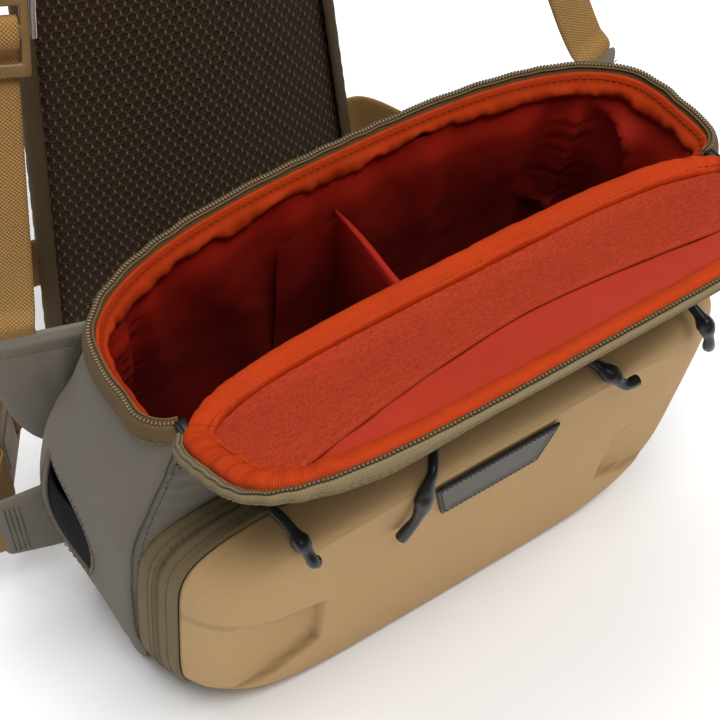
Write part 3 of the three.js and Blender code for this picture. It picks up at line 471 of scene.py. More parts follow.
def thicken(obj, thick):
    """Gives a cloth sheet its thickness, inwards."""
    return applied(obj, "SOLIDIFY", thickness=thick * 0.001, offset=-1, use_even_offset=True)


def sweep(stations, profile, sizes=1.0):
    """Rings of a closed profile of (out, up) pairs carried along places in three dimensions."""
    place, out, up = stations
    profile = np.asarray(profile, float)
    sizes = np.broadcast_to(np.asarray(sizes, float), len(place))[:, None, None]
    return place[:, None] + sizes * (out[:, None] * profile[None, :, :1] + up[:, None] * profile[None, :, 1:])


def circle(count):
    """A round profile, its first point again at the end."""
    angle = np.linspace(0, 2 * math.pi, count + 1)
    return np.stack([np.cos(angle), np.sin(angle)], 1)


def rounded(profile, count):
    """A closed profile of corners made smooth."""
    profile = np.asarray(profile, float)
    ring = np.concatenate([profile, profile[:1]])
    mids = (ring[:-1] + ring[1:]) / 2
    points = []
    for k, corner in enumerate(profile):
        for t in np.linspace(0, 1, 6, endpoint=False):
            points.append((1 - t) ** 2 * mids[k - 1] + 2 * t * (1 - t) * corner + t * t * mids[k])
    points.append(points[0])
    return even(np.array(points), count + 1)


def ribbon(path, across, widths, thick, soft=0.0):
    """Rings of a flat strap along a path; soft puffs its middle."""
    path = np.asarray(path, float)
    run = unit(np.gradient(path, axis=0))
    across = np.broadcast_to(np.asarray(across, float), path.shape)
    side = unit(across - (across * run).sum(1, keepdims=True) * run)
    face = np.cross(side, run)
    a = np.array([-1, -0.97, -0.8, -0.4, 0, 0.4, 0.8, 0.97, 1])
    b = np.array([0, 0.75, 1, 1, 1, 1, 1, 0.75, 0]) + soft * (1 - a ** 2)
    a = np.concatenate([a, a[-2::-1]])
    b = np.concatenate([b, -b[-2::-1]])
    half = np.broadcast_to(np.asarray(widths, float), len(path))[:, None, None] / 2
    return path[:, None] + side[:, None] * half * a[None, :, None] + face[:, None] * (thick / 2) * b[None, :, None]


def round_rings(path, radii, count=14):
    """Rings of a round cord along a path."""
    path = np.asarray(path, float)
    run = unit(np.gradient(path, axis=0))
    side = np.zeros_like(path)
    lead = np.cross(run[0], (0.31, 0.17, 0.93))
    for k, r in enumerate(run):
        lead = unit(lead - (lead * r).sum() * r)
        side[k] = lead
    return sweep((path, side, np.cross(run, side)), circle(count), radii)


class Threads:
    """Rows of stitches, gathered into one piece for each thread."""

    def __init__(self):
        self.rows = Piece()

    def row(self, path, normal, lift=0.1, thick=0.32, pitch=None):
        """A row of stitches along a path, lying on a surface that faces along normal."""
        pitch = pitch or chosen_size("stitch")
        path = np.asarray(path, float)
        far = lengths(path)
        count = max(int(far[-1] / pitch), 1)
        normal = np.broadcast_to(np.asarray(normal, float), path.shape)
        steps = np.array([-0.36, -0.2, 0.2, 0.36])
        sizes = np.array([0.35, 1, 1, 0.35])
        sink = np.array([-0.9, 0, 0, -0.9])
        for k in range(count):
            at = (k + 0.5) * far[-1] / count + steps * pitch
            centre = sampled(path, far, at)
            up = unit(sampled(normal, far, at))
            side = unit(np.cross(up, unit(centre[-1] - centre[0])))
            centre = centre + up * (lift + sink[:, None] * thick)
            self.rows.grid(sweep((centre, side, up), circle(6), thick * sizes))
        return self

    def make(self, name, finish, slot):
        return self.rows.make(name, finish, slot)


# Finishes

class Signal:
    """A shader value; arithmetic on it adds Math nodes."""

    def __init__(self, paint, socket):
        self.paint, self.socket = paint, socket

    def math(self, operation, *others):
        return self.paint.node("ShaderNodeMath", {"operation": operation}, [self, *others])

    def __add__(self, other):
        return self.math("ADD", other)

    def __mul__(self, other):
        return self.math("MULTIPLY", other)

    def __sub__(self, other):
        return self.math("SUBTRACT", other)

    def __rsub__(self, other):
        return self.paint.node("ShaderNodeMath", {"operation": "SUBTRACT"}, [other, self])

    def __truediv__(self, other):
        return self.math("DIVIDE", other)

    def __mod__(self, other):
        return self.math("FLOORED_MODULO", other)

    def __abs__(self):
        return self.math("ABSOLUTE")

    __radd__ = __add__
    __rmul__ = __mul__

    def wave(self, period):
        """A smooth wave from 0 to 1."""
        return (self * (2 * math.pi / period)).math("SINE") * 0.5 + 0.5

    def least(self, other):
        return self.math("MINIMUM", other)

    def most(self, other):
        return self.math("MAXIMUM", other)

    def ramp(self, low, high):
        """0 below low, 1 above high, smooth between."""
        return self.paint.node("ShaderNodeMapRange", {"interpolation_type": "SMOOTHSTEP"}, [self, low, high, 0.0, 1.0])


class Paint:
    """One finish and the nodes that make it."""

    def __init__(self, name, **fixed):
        self.material = bpy.data.materials.new(name)
        self.material.use_nodes = True
        self.tree = self.material.node_tree
        self.tree.nodes.clear()
        self.shader = self.tree.nodes.new("ShaderNodeBsdfPrincipled")
        end = self.tree.nodes.new("ShaderNodeOutputMaterial")
        self.tree.links.new(self.shader.outputs[0], end.inputs[0])
        for socket, value in fixed.items():
            self.shader.inputs[socket.replace("_", " ")].default_value = value

    def node(self, kind, settings, inputs, out=0):
        """A node of any kind: its settings first, then the values or links of its sockets."""
        made = self.tree.nodes.new(kind)
        for key, value in settings.items():
            setattr(made, key, value)
        for key, value in inputs.items() if isinstance(inputs, dict) else enumerate(inputs):
            if isinstance(value, Signal):
                self.tree.links.new(value.socket, made.inputs[key])
            else:
                made.inputs[key].default_value = value
        return Signal(self, made.outputs[out])

    def place(self):
        """Lengths across and along the cloth, in metres."""
        both = self.node("ShaderNodeUVMap", {"uv_map": "cloth"}, {})
        return self.part(both, 0), self.part(both, 1)

    def marked(self, name):
        """A value stored on the points of the mesh."""
        return self.node("ShaderNodeAttribute", {"attribute_name": name}, {}, 2)

    def spot(self):
        return self.node("ShaderNodeTexCoord", {}, {}, "Object")

    def part(self, vector, axis):
        return self.node("ShaderNodeSeparateXYZ", {}, [vector], axis)

    def noise(self, vector, scale, detail=2.0, roughness=0.5):
        return self.node("ShaderNodeTexNoise", {}, {
            "Vector": vector, "Scale": scale, "Detail": detail, "Roughness": roughness})

    def mix(self, share, first, second):
        colours = [c if isinstance(c, Signal) else (*c, 1.0) for c in (first, second)]
        return self.node("ShaderNodeMix", {"data_type": "RGBA"}, {0: share, 6: colours[0], 7: colours[1]}, 2)

    def shaded(self, colour, share, dark, light):
        """One colour made darker and lighter by a share from 0 to 1."""
        return self.mix(share, toned(colour, dark), toned(colour, light))

    def relief(self, height, distance, strength=1.0):
        return self.node("ShaderNodeBump", {}, {"Height": height, "Distance": distance, "Strength": strength})

    def finish(self, colour, roughness=None, normal=None):
        for socket, value in (("Base Color", colour), ("Roughness", roughness), ("Normal", normal)):
            if isinstance(value, Signal):
                self.tree.links.new(value.socket, self.shader.inputs[socket])
            elif value is not None:
                self.shader.inputs[socket].default_value = value
        return self.material


def woven(u, v, pitch):
    """Height of a plain weave: yarns that pass over and under each other."""
    over = abs((u * (math.pi / pitch)).math("SINE"))
    under = abs((v * (math.pi / pitch)).math("SINE"))
    turn = ((u / pitch).math("FLOOR") + (v / pitch).math("FLOOR")) % 2.0
    return over * turn + under * (1.0 - turn)


def toned(colour, share):
    """A colour made darker or lighter."""
    return [min(c * share, 1.0) for c in colour]


def sheen(colour, weight, rough=0.5):
    """Shader settings for the soft shine of a cloth's loose fibres."""
    return {"Sheen_Weight": weight, "Sheen_Roughness": rough, "Sheen_Tint": (*colour, 1.0)}


def cloth_finish(name, colour, pitch, depth, rough=0.8, shine=0.1, fleck=0.2, painted_depth_shading=None):
    """Plain woven cloth with uneven yarns, a soft sheen and rubbed places; two optional heights give painted shade
    below them and painted light above them.
    """
    paint = Paint(name, **sheen(colour, shine), Specular_IOR_Level=0.22)
    yarns = woven(*paint.place(), pitch)
    spot = paint.spot()
    wide = paint.noise(spot, 26.0, 3.0)
    fine = paint.noise(spot, 900.0, 2.0, 0.7)
    patchy, ridged = 0.14, 0.22
    share = wide * patchy + fine * fleck + yarns * ridged + (0.5 - 0.5 * (patchy + fleck + ridged))
    if painted_depth_shading:
        # Painted shade deep down and painted light near the rim: a darker and a lighter copy of the colour, blended by
        # height
        height = paint.part(spot, 2).ramp(*painted_depth_shading)
        base = paint.mix(height, paint.shaded(colour, share, 0.32, 0.72), paint.shaded(colour, share, 0.86, 1.94))
    else:
        base = paint.shaded(colour, share, 0.62, 1.38)
    return paint.finish(base, wide * 0.12 + (rough - 0.06), paint.relief(yarns * 0.7 + fine * 0.5, depth))


def ribbed_finish(name, colour, pitch, depth):
    """Binding tape with fine ribs across its length."""
    paint = Paint(name, Specular_IOR_Level=0.07)
    _, v = paint.place()
    spot = paint.spot()
    uneven = paint.noise(spot, 420.0, 2.0)
    ribs = (v + uneven * (pitch * 0.25)).wave(pitch)
    wide = paint.noise(spot, 40.0, 3.0)
    share = ribs * 0.26 + wide * 0.36 + uneven * 0.24 + 0.07
    relief = paint.relief(ribs + uneven * 0.5, depth)
    return paint.finish(paint.shaded(colour, share, 0.5, 1.3), wide * 0.14 + 0.62, relief)


def loop_finish(name, colour):
    """Short matted loops."""
    paint = Paint(name, **sheen(colour, 0.2, 0.6), Specular_IOR_Level=0.1)
    spot = paint.spot()
    tufts = paint.noise(spot, 620.0, 4.0, 0.75)
    clumps = paint.noise(spot, 150.0, 3.0, 0.6)
    share = tufts * 1.5 + clumps * 0.3 + paint.noise(spot, 22.0, 2.0) * 0.15 - 0.5
    return paint.finish(paint.shaded(colour, share, 0.5, 1.5), 0.95, paint.relief(tufts + clumps * 0.4, 0.0016))


def webbing_finish(name, colour, row):
    """Webbing with rows of ribs that step from column to column."""
    paint = Paint(name, **sheen(colour, 0.1), Specular_IOR_Level=0.22)
    u, v = paint.place()
    spot = paint.spot()
    column = (u / (row * 0.55)).math("FLOOR") % 2.0
    ribs = (v + column * (row * 0.5)).wave(row)
    sides = u.wave(row * 0.55)
    fine = paint.noise(spot, 1100.0, 2.0, 0.7)
    share = ribs * 0.42 + sides * 0.12 + fine * 0.34 + paint.noise(spot, 30.0, 2.0) * 0.24 - 0.06
    relief = paint.relief(ribs + sides * 0.3 + fine * 0.4, 0.0004)
    return paint.finish(paint.shaded(colour, share, 0.5, 1.32), 0.82, relief)


def moulded_finish(name, colour):
    """Fine cloth over a moulded form, with painted shade where its points are marked, on the ramps of the pocket's
    sunk flats.
    """
    paint = Paint(name, **sheen(colour, 0.08), Specular_IOR_Level=0.22)
    spot = paint.spot()
    grain = paint.noise(spot, 1500.0, 2.0, 0.7)
    mottle = paint.noise(spot, 420.0, 3.0, 0.6)
    wide = paint.noise(spot, 14.0, 3.0)
    face = paint.shaded(colour, grain * 0.34 + mottle * 0.26 + wide * 0.3 + 0.05, 0.78, 1.2)
    # Painted shade: marked points are mixed towards a darker copy of the colour
    base = paint.mix(paint.marked("painted_ramp_shade") * 0.7, face, toned(colour, 0.36))
    return paint.finish(base, wide * 0.1 + 0.72, paint.relief(grain + mottle * 0.4, 0.00022))


def mesh_finish(name, hollow, rib, cell):
    """Spacer mesh: six-sided hollows between raised ribs."""
    paint = Paint(name, Specular_IOR_Level=0.15)
    u, v = paint.place()
    x, y = u / cell, v / cell
    tall = math.sqrt(3)

    def cell_places(shift):
        px = abs((x + shift) % 1.0 - 0.5)
        py = abs((y + shift * tall) % tall - tall / 2)
        return px, px * 0.5 + py * (tall / 2)

    upright, slanted = cell_places(0.0)
    upright_next, slanted_next = cell_places(0.5)
    edge = upright.most(slanted).least(upright_next.most(slanted_next))
    standing = (upright - slanted).most(upright_next - slanted_next).ramp(0.0, 0.12)
    spot = paint.spot()
    fine = paint.noise(spot, 1300.0, 2.0, 0.7)
    wall = edge.ramp(0.30, 0.47)
    # Painted shade: the hollows are painted dark and darker still, since their depth is bump only
    base = paint.mix(wall * (standing * 0.74 + 0.1) + fine * 0.3 - 0.12, toned(hollow, 0.8), rib)
    return paint.finish(base, paint.noise(spot, 18.0, 2.0) * 0.1 + 0.72, paint.relief(wall + fine * 0.25, 0.0012))


def plain_finish(name, colour, rough, grain=0.0001, scale=900.0, sides=None, **fixed):
    """Moulded plastic, rubber or wire with faint grain and rubbed places, and painted shade down any marked sides."""
    paint = Paint(name, **fixed)
    spot = paint.spot()
    fine = paint.noise(spot, scale, 3.0)
    wide = paint.noise(spot, 45.0, 3.0)
    base = paint.shaded(colour, wide * 0.6 + fine * 0.3 + 0.05, 0.75, 1.3)
    if sides:
        # Painted shade: the marked sides are mixed towards a far darker copy of the colour
        base = paint.mix(paint.marked(sides), base, toned(colour, 0.12))
    return paint.finish(base, wide * 0.22 + (rough - 0.11), paint.relief(fine, grain))


def make_finishes():
    """Every finish of the pack, in the colours and sizes of its settings."""
    c, s = bpy.context.scene.pack_colours, bpy.context.scene.pack_sizes
    lining = {"pitch": 0.0005, "depth": 0.00008, "fleck": 0.1}
    cloth_finish("outer_cloth", c.grey, s.weave, 0.00016, rough=0.74)
    cloth_finish("lining_cloth", c.lining, rough=0.62, shine=0.08, **lining)
    # Painted shade deep in the compartment, painted light near its rim
    cloth_finish("compartment_cloth", c.deep, rough=0.66, shine=0.04, painted_depth_shading=(0.15, 0.245), **lining)
    ribbed_finish("bright_tape", c.bright, 0.0009, 0.00014)
    loop_finish("loop_pile", c.loop)
    for name, colour in (("zip_tape", c.olive), ("edge_tape", c.edge), ("panel_tape", toned(c.edge, 0.66))):
        cloth_finish(name, colour, 0.0008, 0.00014, rough=0.76)
    plain_finish("zip_coil", c.coil, 0.3, Specular_IOR_Level=0.6)
    moulded_finish("moulded_cloth", c.tan)
    webbing_finish("strap_webbing", c.webbing, s.web_row)
    plain_finish("buckle_plastic", c.plastic, 0.5, 0.00012)
    mesh_finish("spacer_mesh", c.mesh, c.mesh_rib, s.mesh_cell)
    plain_finish("black_rubber", c.rubber, 0.32, 0.00008)
    plain_finish("slot_rubber", toned(c.rubber, 2.8), 0.8, 0.00008, Specular_IOR_Level=0.06)
    # The patch's side walls get painted shade
    plain_finish("patch_rubber", c.patch, 0.61, 0.0002, 1500.0, sides="wall")
    plain_finish("bright_wire", (0.62, 0.62, 0.61), 0.28, 0.00004, Metallic=1.0)
    for name, colour in (("bright_thread", toned(c.bright, 0.6)), ("dark_thread", toned(c.grey, 0.5)),
                         ("tan_thread", toned(c.olive, 0.8))):
        cloth_finish(name, colour, 0.0004, 0.00005)


def finish_named(name):
    """One finish of the pack; the first call makes them all."""
    if name not in bpy.data.materials:
        make_finishes()
    return bpy.data.materials[name]


# Tub

def seam_x(z):
    """How far out the seam at the tub's front corner runs."""
    return glide([0, 150, SHELL_TOP_Z], [0.98, 0.968, 0.915], z) * section(BODY, z)[0]


def tub_folds(rows, heights):
    """How far the tub's cloth stands out from its plain wall: swells, seams, puckers and the slots' gaping lips."""
    x, y, z = rows[..., 0], rows[..., 1], rows[..., 2]
    push = 0.8 * rolling(rows, 58, 1) + 0.25 * rolling(rows * (1, 1, 2.2), 20, 2)
    pucker = wave(z, 10, 2.6 * rolling(rows, 26, 3))
    slack = ease(z, 172, 205) * ease(-z, -240, -226)
    crease = wave(z - 0.5 * np.abs(x), 13, 3 * rolling(rows, 30, 4))
    sag = wave(z * 0.5 - y, 70, 2.4 * rolling(rows, 70, 5))
    along, across = in_slot(y, z)
    calm = bump(along, SLOT_LENGTH * 0.6) * bump(across, 26)
    for side in (-1, 1):
        seam = np.array([(side * seam_x(h), front_of(BODY, seam_x(h), h), h) for h in heights])
        gap = apart(rows, seam)
        ahead = ease(np.abs(seam[:, None, 0]) - np.abs(x), -1.2, 1.2)
        near = np.where(side * x > 0, 1.0, 0.0)
        push += near * (1.1 * bump(gap, 14) * (1 - ahead) - 0.9 * bump(gap, 8) * ahead - 0.9 * bump(gap, 1.8))
        push += near * ahead * (0.55 * pucker * bump(gap, 11) + 0.8 * slack * crease * bump(gap - 12, 16))
        push += 0.8 * sag * ease(side * x, 140, 160) * ease(z, 10, 40)
        back_seam = np.array([(side * 118, back_of(BODY, 118, h), h) for h in heights])
        push -= 0.9 * bump(apart(rows, back_seam), 2.2)
        push = np.where(side * x > 120, push * (1 - 0.9 * calm) + slot_gape(y, z), push)
    return push * ease(z, 0, 14) * ease(-z, -TUB_TOP_Z, -TUB_TOP_Z + 8)


def build_tub():
    heights = np.concatenate([[0, 0.4, 1.2, 2.6], np.linspace(5, 24, 8), np.linspace(28, TUB_TOP_Z, 76)])
    bare = lofted(BODY, heights, 330)
    out = facing(bare, np.array([0, 30, 120]))
    rows = bare + out * tub_folds(bare, heights)[..., None]
    rows[:, -1] = rows[:, 0]

    def on_wall(k, across, lift):
        """Places on the finished front wall, at the height of one row."""
        front = np.nonzero(bare[k, :, 1] < section(BODY, heights[k])[3])[0]
        order = front[np.argsort(bare[k, front, 0])]
        return sampled(rows[k, order] + out[k, order] * lift, bare[k, order, 0], across)

    piece = Piece().grid(np.concatenate([base_rings(rows[0], (0.0, 0.3, 0.6, 0.85)), rows]))
    tub = thicken(piece.make("tub", "outer_cloth", "grey", "body_shell"), TUB_CLOTH)
    seams, thread = Piece(), Threads()
    for side in (-1, 1):
        path, beside = [], []
        for k in range(9, len(heights) - 2):
            spot = side * seam_x(heights[k])
            path.append(on_wall(k, spot, 0.3))
            beside.append(on_wall(k, spot - side * 3.4, 0.2))
        seams.tube(round_rings(flowing(path, 150), 0.6, 8))
        thread.row(flowing(beside, 200), (0, -1, 0), thick=0.22)
    hem_row = int(np.argmin(np.abs(heights - HEM_Z)))
    across = np.linspace(-140, 140, 160)
    seams.tube(round_rings(on_wall(hem_row, across, 0.3), 0.55, 8))
    thread.row(on_wall(hem_row - 1, across, 0.2), (0, -1, 0), thick=0.25)
    seams.make("tub_seams", "dark_thread", "grey")
    thread.make("tub_stitches", "dark_thread", "grey")
    for side, name in SIDES:
        cut_slot(tub, side)
        slot_sleeve(side, name)


def in_slot(y, z):
    """Places along and across the slot of points on the tub's side."""
    c, s = math.cos(SLOT_LEAN), math.sin(SLOT_LEAN)
    return (y - SLOT_Y) * s + (z - SLOT_Z) * c, (y - SLOT_Y) * c - (z - SLOT_Z) * s


def from_slot(across, along):
    """The y and z of places across and along the slot."""
    c, s = math.cos(SLOT_LEAN), math.sin(SLOT_LEAN)
    return SLOT_Y + across * c + along * s, SLOT_Z - across * s + along * c


def drop_half(share, width):
    """Half width of the slot's drop shape, at a share from its foot at -1 to its point at 1."""
    return width / 2 * np.maximum(1 - share ** 2, 0) * (1 - 0.28 * share)


def slot_gape(y, z):
    """How far the wall behind the slot stands out, so that its back lip gapes towards the front."""
    along, across = in_slot(y, z)
    return SLOT_GAPE * bump(along, SLOT_LENGTH * 0.52) * ease(across, -15, 12) * ease(-across, -42, -13)


def slot_ring(length, width, count=30):
    """The drop-shaped slot seen from the side, its point up, as (y, z) pairs."""
    t = np.sin(np.linspace(-0.5, 0.5, count) * math.pi)
    half = drop_half(t, width)
    across = np.concatenate([half, -half[::-1][1:]])
    along = np.concatenate([t, t[::-1][1:]]) * length / 2
    return np.stack(from_slot(across, along), 1)


def side_wall(y, z, inset):
    """How far out the tub's side wall lies at one y and height, less an inset."""
    half, back, front, mid, back_power, front_power = section(BODY, z)
    power, reach = (back_power, back - mid) if y > mid else (front_power, mid - front)
    return half * arch(min(abs(y - mid) / reach, 0.999), power) + float(slot_gape(y, z)) - inset


def cut_slot(tub, side):
    """Cuts the slanted tool slot through one side of the tub."""
    edge = slot_ring(SLOT_LENGTH, SLOT_WIDTH)
    rings = [np.column_stack([np.full(len(edge), side * x), edge]) for x in (150, 190)]
    cutter = Piece().tube(np.array(rings)).make("slot_cutter", "outer_cloth", "grey")
    applied(tub, "BOOLEAN", object=cutter, operation="DIFFERENCE", solver="EXACT")
    bpy.data.objects.remove(cutter)


def slot_sleeve(side, name):
    """The rubber sleeve behind the slot: a hollow back and a front that starts below the slot's point."""
    edge = slot_ring(SLOT_LENGTH + 8, SLOT_WIDTH + 9)
    centre = edge.mean(0)
    back, front = [], []
    for share in np.linspace(1, 0, 10):
        ring = centre + (edge - centre) * share
        back.append([(side * side_wall(y, z, 2.6 + 13 * (1 - share ** 2)), y, z) for y, z in ring])
    t = np.linspace(-1, 1, 17)
    for share in np.linspace(0, 1, 26):
        drop = -0.96 + share * (1.16 + 0.3 * t + 0.14 * t ** 2)
        depth = 2.5 + (2.2 * share ** 3 - 0.6) * (1 - t ** 2)
        spots = from_slot(t * drop_half(drop, SLOT_WIDTH + 7), drop * (SLOT_LENGTH + 6) / 2)
        front.append([(side * side_wall(y, z, d), y, z) for y, z, d in zip(*spots, depth)])
    piece = Piece().grid(front).make(f"slot_front_{name}", "slot_rubber", "rubber")
    applied(piece, "SOLIDIFY", thickness=0.0009, offset=0)
    Piece().grid(back).make(f"slot_sleeve_{name}", "slot_rubber", "rubber", f"tool_sleeve_{name}")
    lip = slot_ring(SLOT_LENGTH + 5, SLOT_WIDTH + 6, 44)
    path = [(side * side_wall(y, z, -0.45), y, z) for y, z in lip]
    Threads().row(path, (side, 0, 0)).make(f"slot_stitches_{name}", "tan_thread", "grey")


def build_lining():
    around = 240
    heights = np.concatenate([np.linspace(4.3, 20, 8), np.linspace(24, SHELL_TOP_Z, 56)])
    rows = lofted(LINING, heights, around, -1.3)
    inward = -facing(rows, np.array([0, 20, 120]))
    inward[..., 2] = 0
    z = rows[..., 2]
    turn = np.linspace(0, 2 * math.pi, around + 1)
    swing = np.sin(turn * 9 + 2.2 * rolling(rows * (1, 1, 0.35), 60, 7)) ** 3
    push = 1.6 + 3.6 * np.abs(swing) + 4.6 * np.clip(rolling(rows * (1, 1, 0.45), 46, 8), 0, 1)
    push += 0.8 * rolling(rows, 16, 9)
    ridge = (1 - np.abs(np.sin(turn * 7 + z / 30 + 3.2 * rolling(rows * (1, 1, 0.7), 44, 17)))) ** 2
    push += ridge * (0.8 + 6.2 * ease(rows[..., 0], 100, 132))
    pucker = wave(z, 9, 3 * rolling(rows, 20, 10))
    for side in (-1, 1):
        gap = apart(rows, np.array([(side * 128, back_of(LINING, 128, h), h) for h in heights]))
        push += 3.2 * bump(gap, 4) + 1.3 * pucker * bump(gap - 6, 8)
    push = np.clip(push, 0, 15) * ease(z, 6, 50) * (0.3 + 0.7 * ease(-z, -SHELL_TOP_Z, -216))
    rows = rows + inward * push[..., None]
    rows[:, -1] = rows[:, 0]
    piece = Piece().grid(np.concatenate([base_rings(rows[0], (0.0, 0.4, 0.8)), rows]))
    piece.make("lining", "compartment_cloth", "lining", "body_lining")


def build_divider():
    left, right = -6.3, -2.7
    middle = (left + right) / 2
    profile = rounded([(0, 0), (1, 0), (1, 1), (0, 1)], 44)
    rows = []
    for z in np.linspace(6, 213, 40):
        front, back = front_of(LINING, -4, z) + 4, back_of(LINING, -4, z) - 5
        y = front + (back - front) * np.clip((profile[:, 1] - 0.02) / 0.96, 0, 1)
        x = left + (right - left) * profile[:, 0] + 1.2 * noise.noise((0.3, z / 45, 2.0))
        rows.append(np.column_stack([x + 1.3 * np.sin(y / 17 + z / 40), y, np.full(len(x), z)]))
    top = rows[-1].copy()
    top[:, 2] += 1.6
    top[:, 0] = middle + (top[:, 0] - middle) * 0.5
    piece = Piece().tube(np.array([*rows, top]))
    xs = np.linspace(-37, -3, 16)
    flange = []
    for z in np.linspace(8, 211, 36):
        y = np.array([back_of(LINING, x, z) for x in xs]) - 7.6 + 1.2 * drift(xs, 14, z / 30, 4.0)
        flange.append(np.column_stack([xs, y, np.full(len(xs), z)]))
    piece.grid(flange).make("divider_wall", "compartment_cloth", "lining", "divider")


# Zips and bindings

def coil_teeth(stations, width, height):
    """A row of zip teeth along places with outward and upward directions."""
    pitch = chosen_size("tooth_pitch")
    far = lengths(stations[0])
    count = int(far[-1] / pitch)
    tooth = np.array([(-0.5, 0.0), (-0.52, 0.55), (-0.3, 0.98), (0.15, 0.8), (0.5, 0.95), (0.52, 0.5), (0.5, 0.0)])
    tooth = np.concatenate([tooth, tooth[:1]]) * (width, height)
    steps = np.array([-0.44, -0.26, 0.26, 0.44])
    piece = Piece()
    for k in range(count):
        place, out, up = (sampled(path, far, (k + 0.5) * far[-1] / count + steps * pitch) for path in stations)
        piece.tube(sweep((place, unit(out), unit(up)), tooth, (0.7, 1.0, 1.0, 0.7)))
    return piece


def gathers(place, amount, size, seed):
    """Uneven gathers along a tape."""
    far = lengths(place)
    swell = 0.5 + 0.5 * drift(far, 48, seed + 3.0, 1.5)
    return amount * (0.35 + swell) * wave(far, size, 4 * drift(far, 34, seed))


def build_rim():
    path, flat = ring_stations(RIM, 440, ZIP_END_Y)
    place = np.column_stack([path, np.full(len(path), RIM_Z)])
    out = np.column_stack([flat, np.zeros(len(path))])
    up = np.broadcast_to((0.0, 0.0, 1.0), place.shape)
    tape = rounded([(2.2, -10.8), (3.7, -10.4), (3.4, -5), (2.1, -0.6), (1.1, 0.35), (-0.6, 0.35), (-1.7, -0.2),
                    (-3.6, -5.4), (-2.6, -5.8), (-0.6, -1.3), (0.9, -1.3), (1.9, -5)], 36)
    wobble = gathers(place, 0.3, 21, 2)[:, None]
    piece = Piece().tube(sweep((place + out * wobble, out, up), tape))
    piece.tube(round_rings(place + out * (wobble - 1.9) + up * 0.5, 0.55, 8))
    piece.make("rim_zip_tape", "edge_tape", "olive", "rim_tape")
    teeth = coil_teeth((place + out * (wobble + 0.1) + up * 0.3, out, up), 2.2, 1.1)
    teeth.make("rim_zip_teeth", "zip_coil", "coil", "rim_coil")
    far = lengths(place)
    fat = drift(far, 13, 5.0) + 0.6 * drift(far, 5.5, 8.0)
    hang = drift(far, 17, 11.0) + 0.5 * drift(far, 7, 14.0)
    roll = rounded([(-2.0, -1.6), (-3.3, -1.8), (-4.5, -4.4), (-5.0, -6.4), (-7.1, -8.8), (-7.9, -12.4), (-5.8, -16),
                    (-2.8, -16.2), (-1.6, -14)], 30)
    size = chosen_size("gather")
    low = ease(-roll[:, 1], 6, 15)[None, :]
    o = roll[None, :, 0] * (1 + 0.42 * size * fat[:, None] * low)
    u = roll[None, :, 1] - 4.6 * size * hang[:, None] * low
    puffed = place[:, None] + out[:, None] * o[..., None] + up[:, None] * u[..., None]
    Piece().tube(puffed).make("rim_binding", "bright_tape", "bright", "rim_facing")
    Threads().row(place + out * 3.5 + up * -8.6, out).make("rim_stitches", "tan_thread", "olive")
    inner = Threads().row(place + out * -4.65 + up * -4.4, unit(-out + up), thick=0.26)
    inner.make("rim_binding_stitches", "bright_thread", "bright")


def lid_stations(path, out):
    """Places, outward directions and upward directions along a path on the lid."""
    place = lid_point(*path.T, 0.0)
    return place, unit(lid_point(*(path + out).T, 0.0) - place), lid_point(*path.T, 1.0) - place


def lid_rings(path, out, profile, grow):
    """Rings of a profile round the lid, following its bend; grow gives each ring its share of the height."""
    spread = path[:, None] + out[:, None] * profile[None, :, :1]
    return lid_point(spread[..., 0], spread[..., 1], profile[None, :, 1] * grow[:, None])


def laid_flat(x, d):
    """Places on the lid as if it lay flat."""
    return np.stack([x, d, np.zeros_like(x)], -1)


def lid_sheet(half, rows, columns, inset, height, edge=None):
    """A sheet in the lid; height(x, d, share across, share along) gives its place above the lid's surface."""
    turn = np.linspace(-0.5, 0.5, columns)
    xs = half * np.sin(turn * math.pi)
    low, high = lid_reach(xs, -inset)
    if edge is not None:
        high = np.minimum(high, edge(xs))
    share = (1 - np.cos(np.linspace(0, math.pi, rows))) / 2
    d = low[None, :] + (high - low)[None, :] * share[:, None]
    x = np.broadcast_to(xs[None, :], d.shape)
    return lid_point(x, d, height(x, d, np.abs(np.sin(turn * math.pi))[None, :], share[:, None]))


def lid_edge_share(x):
    """How much of the lid's full depth its edge keeps: most near the front corners."""
    return 0.22 + 0.24 * bump(np.abs(x) - 104, 30)


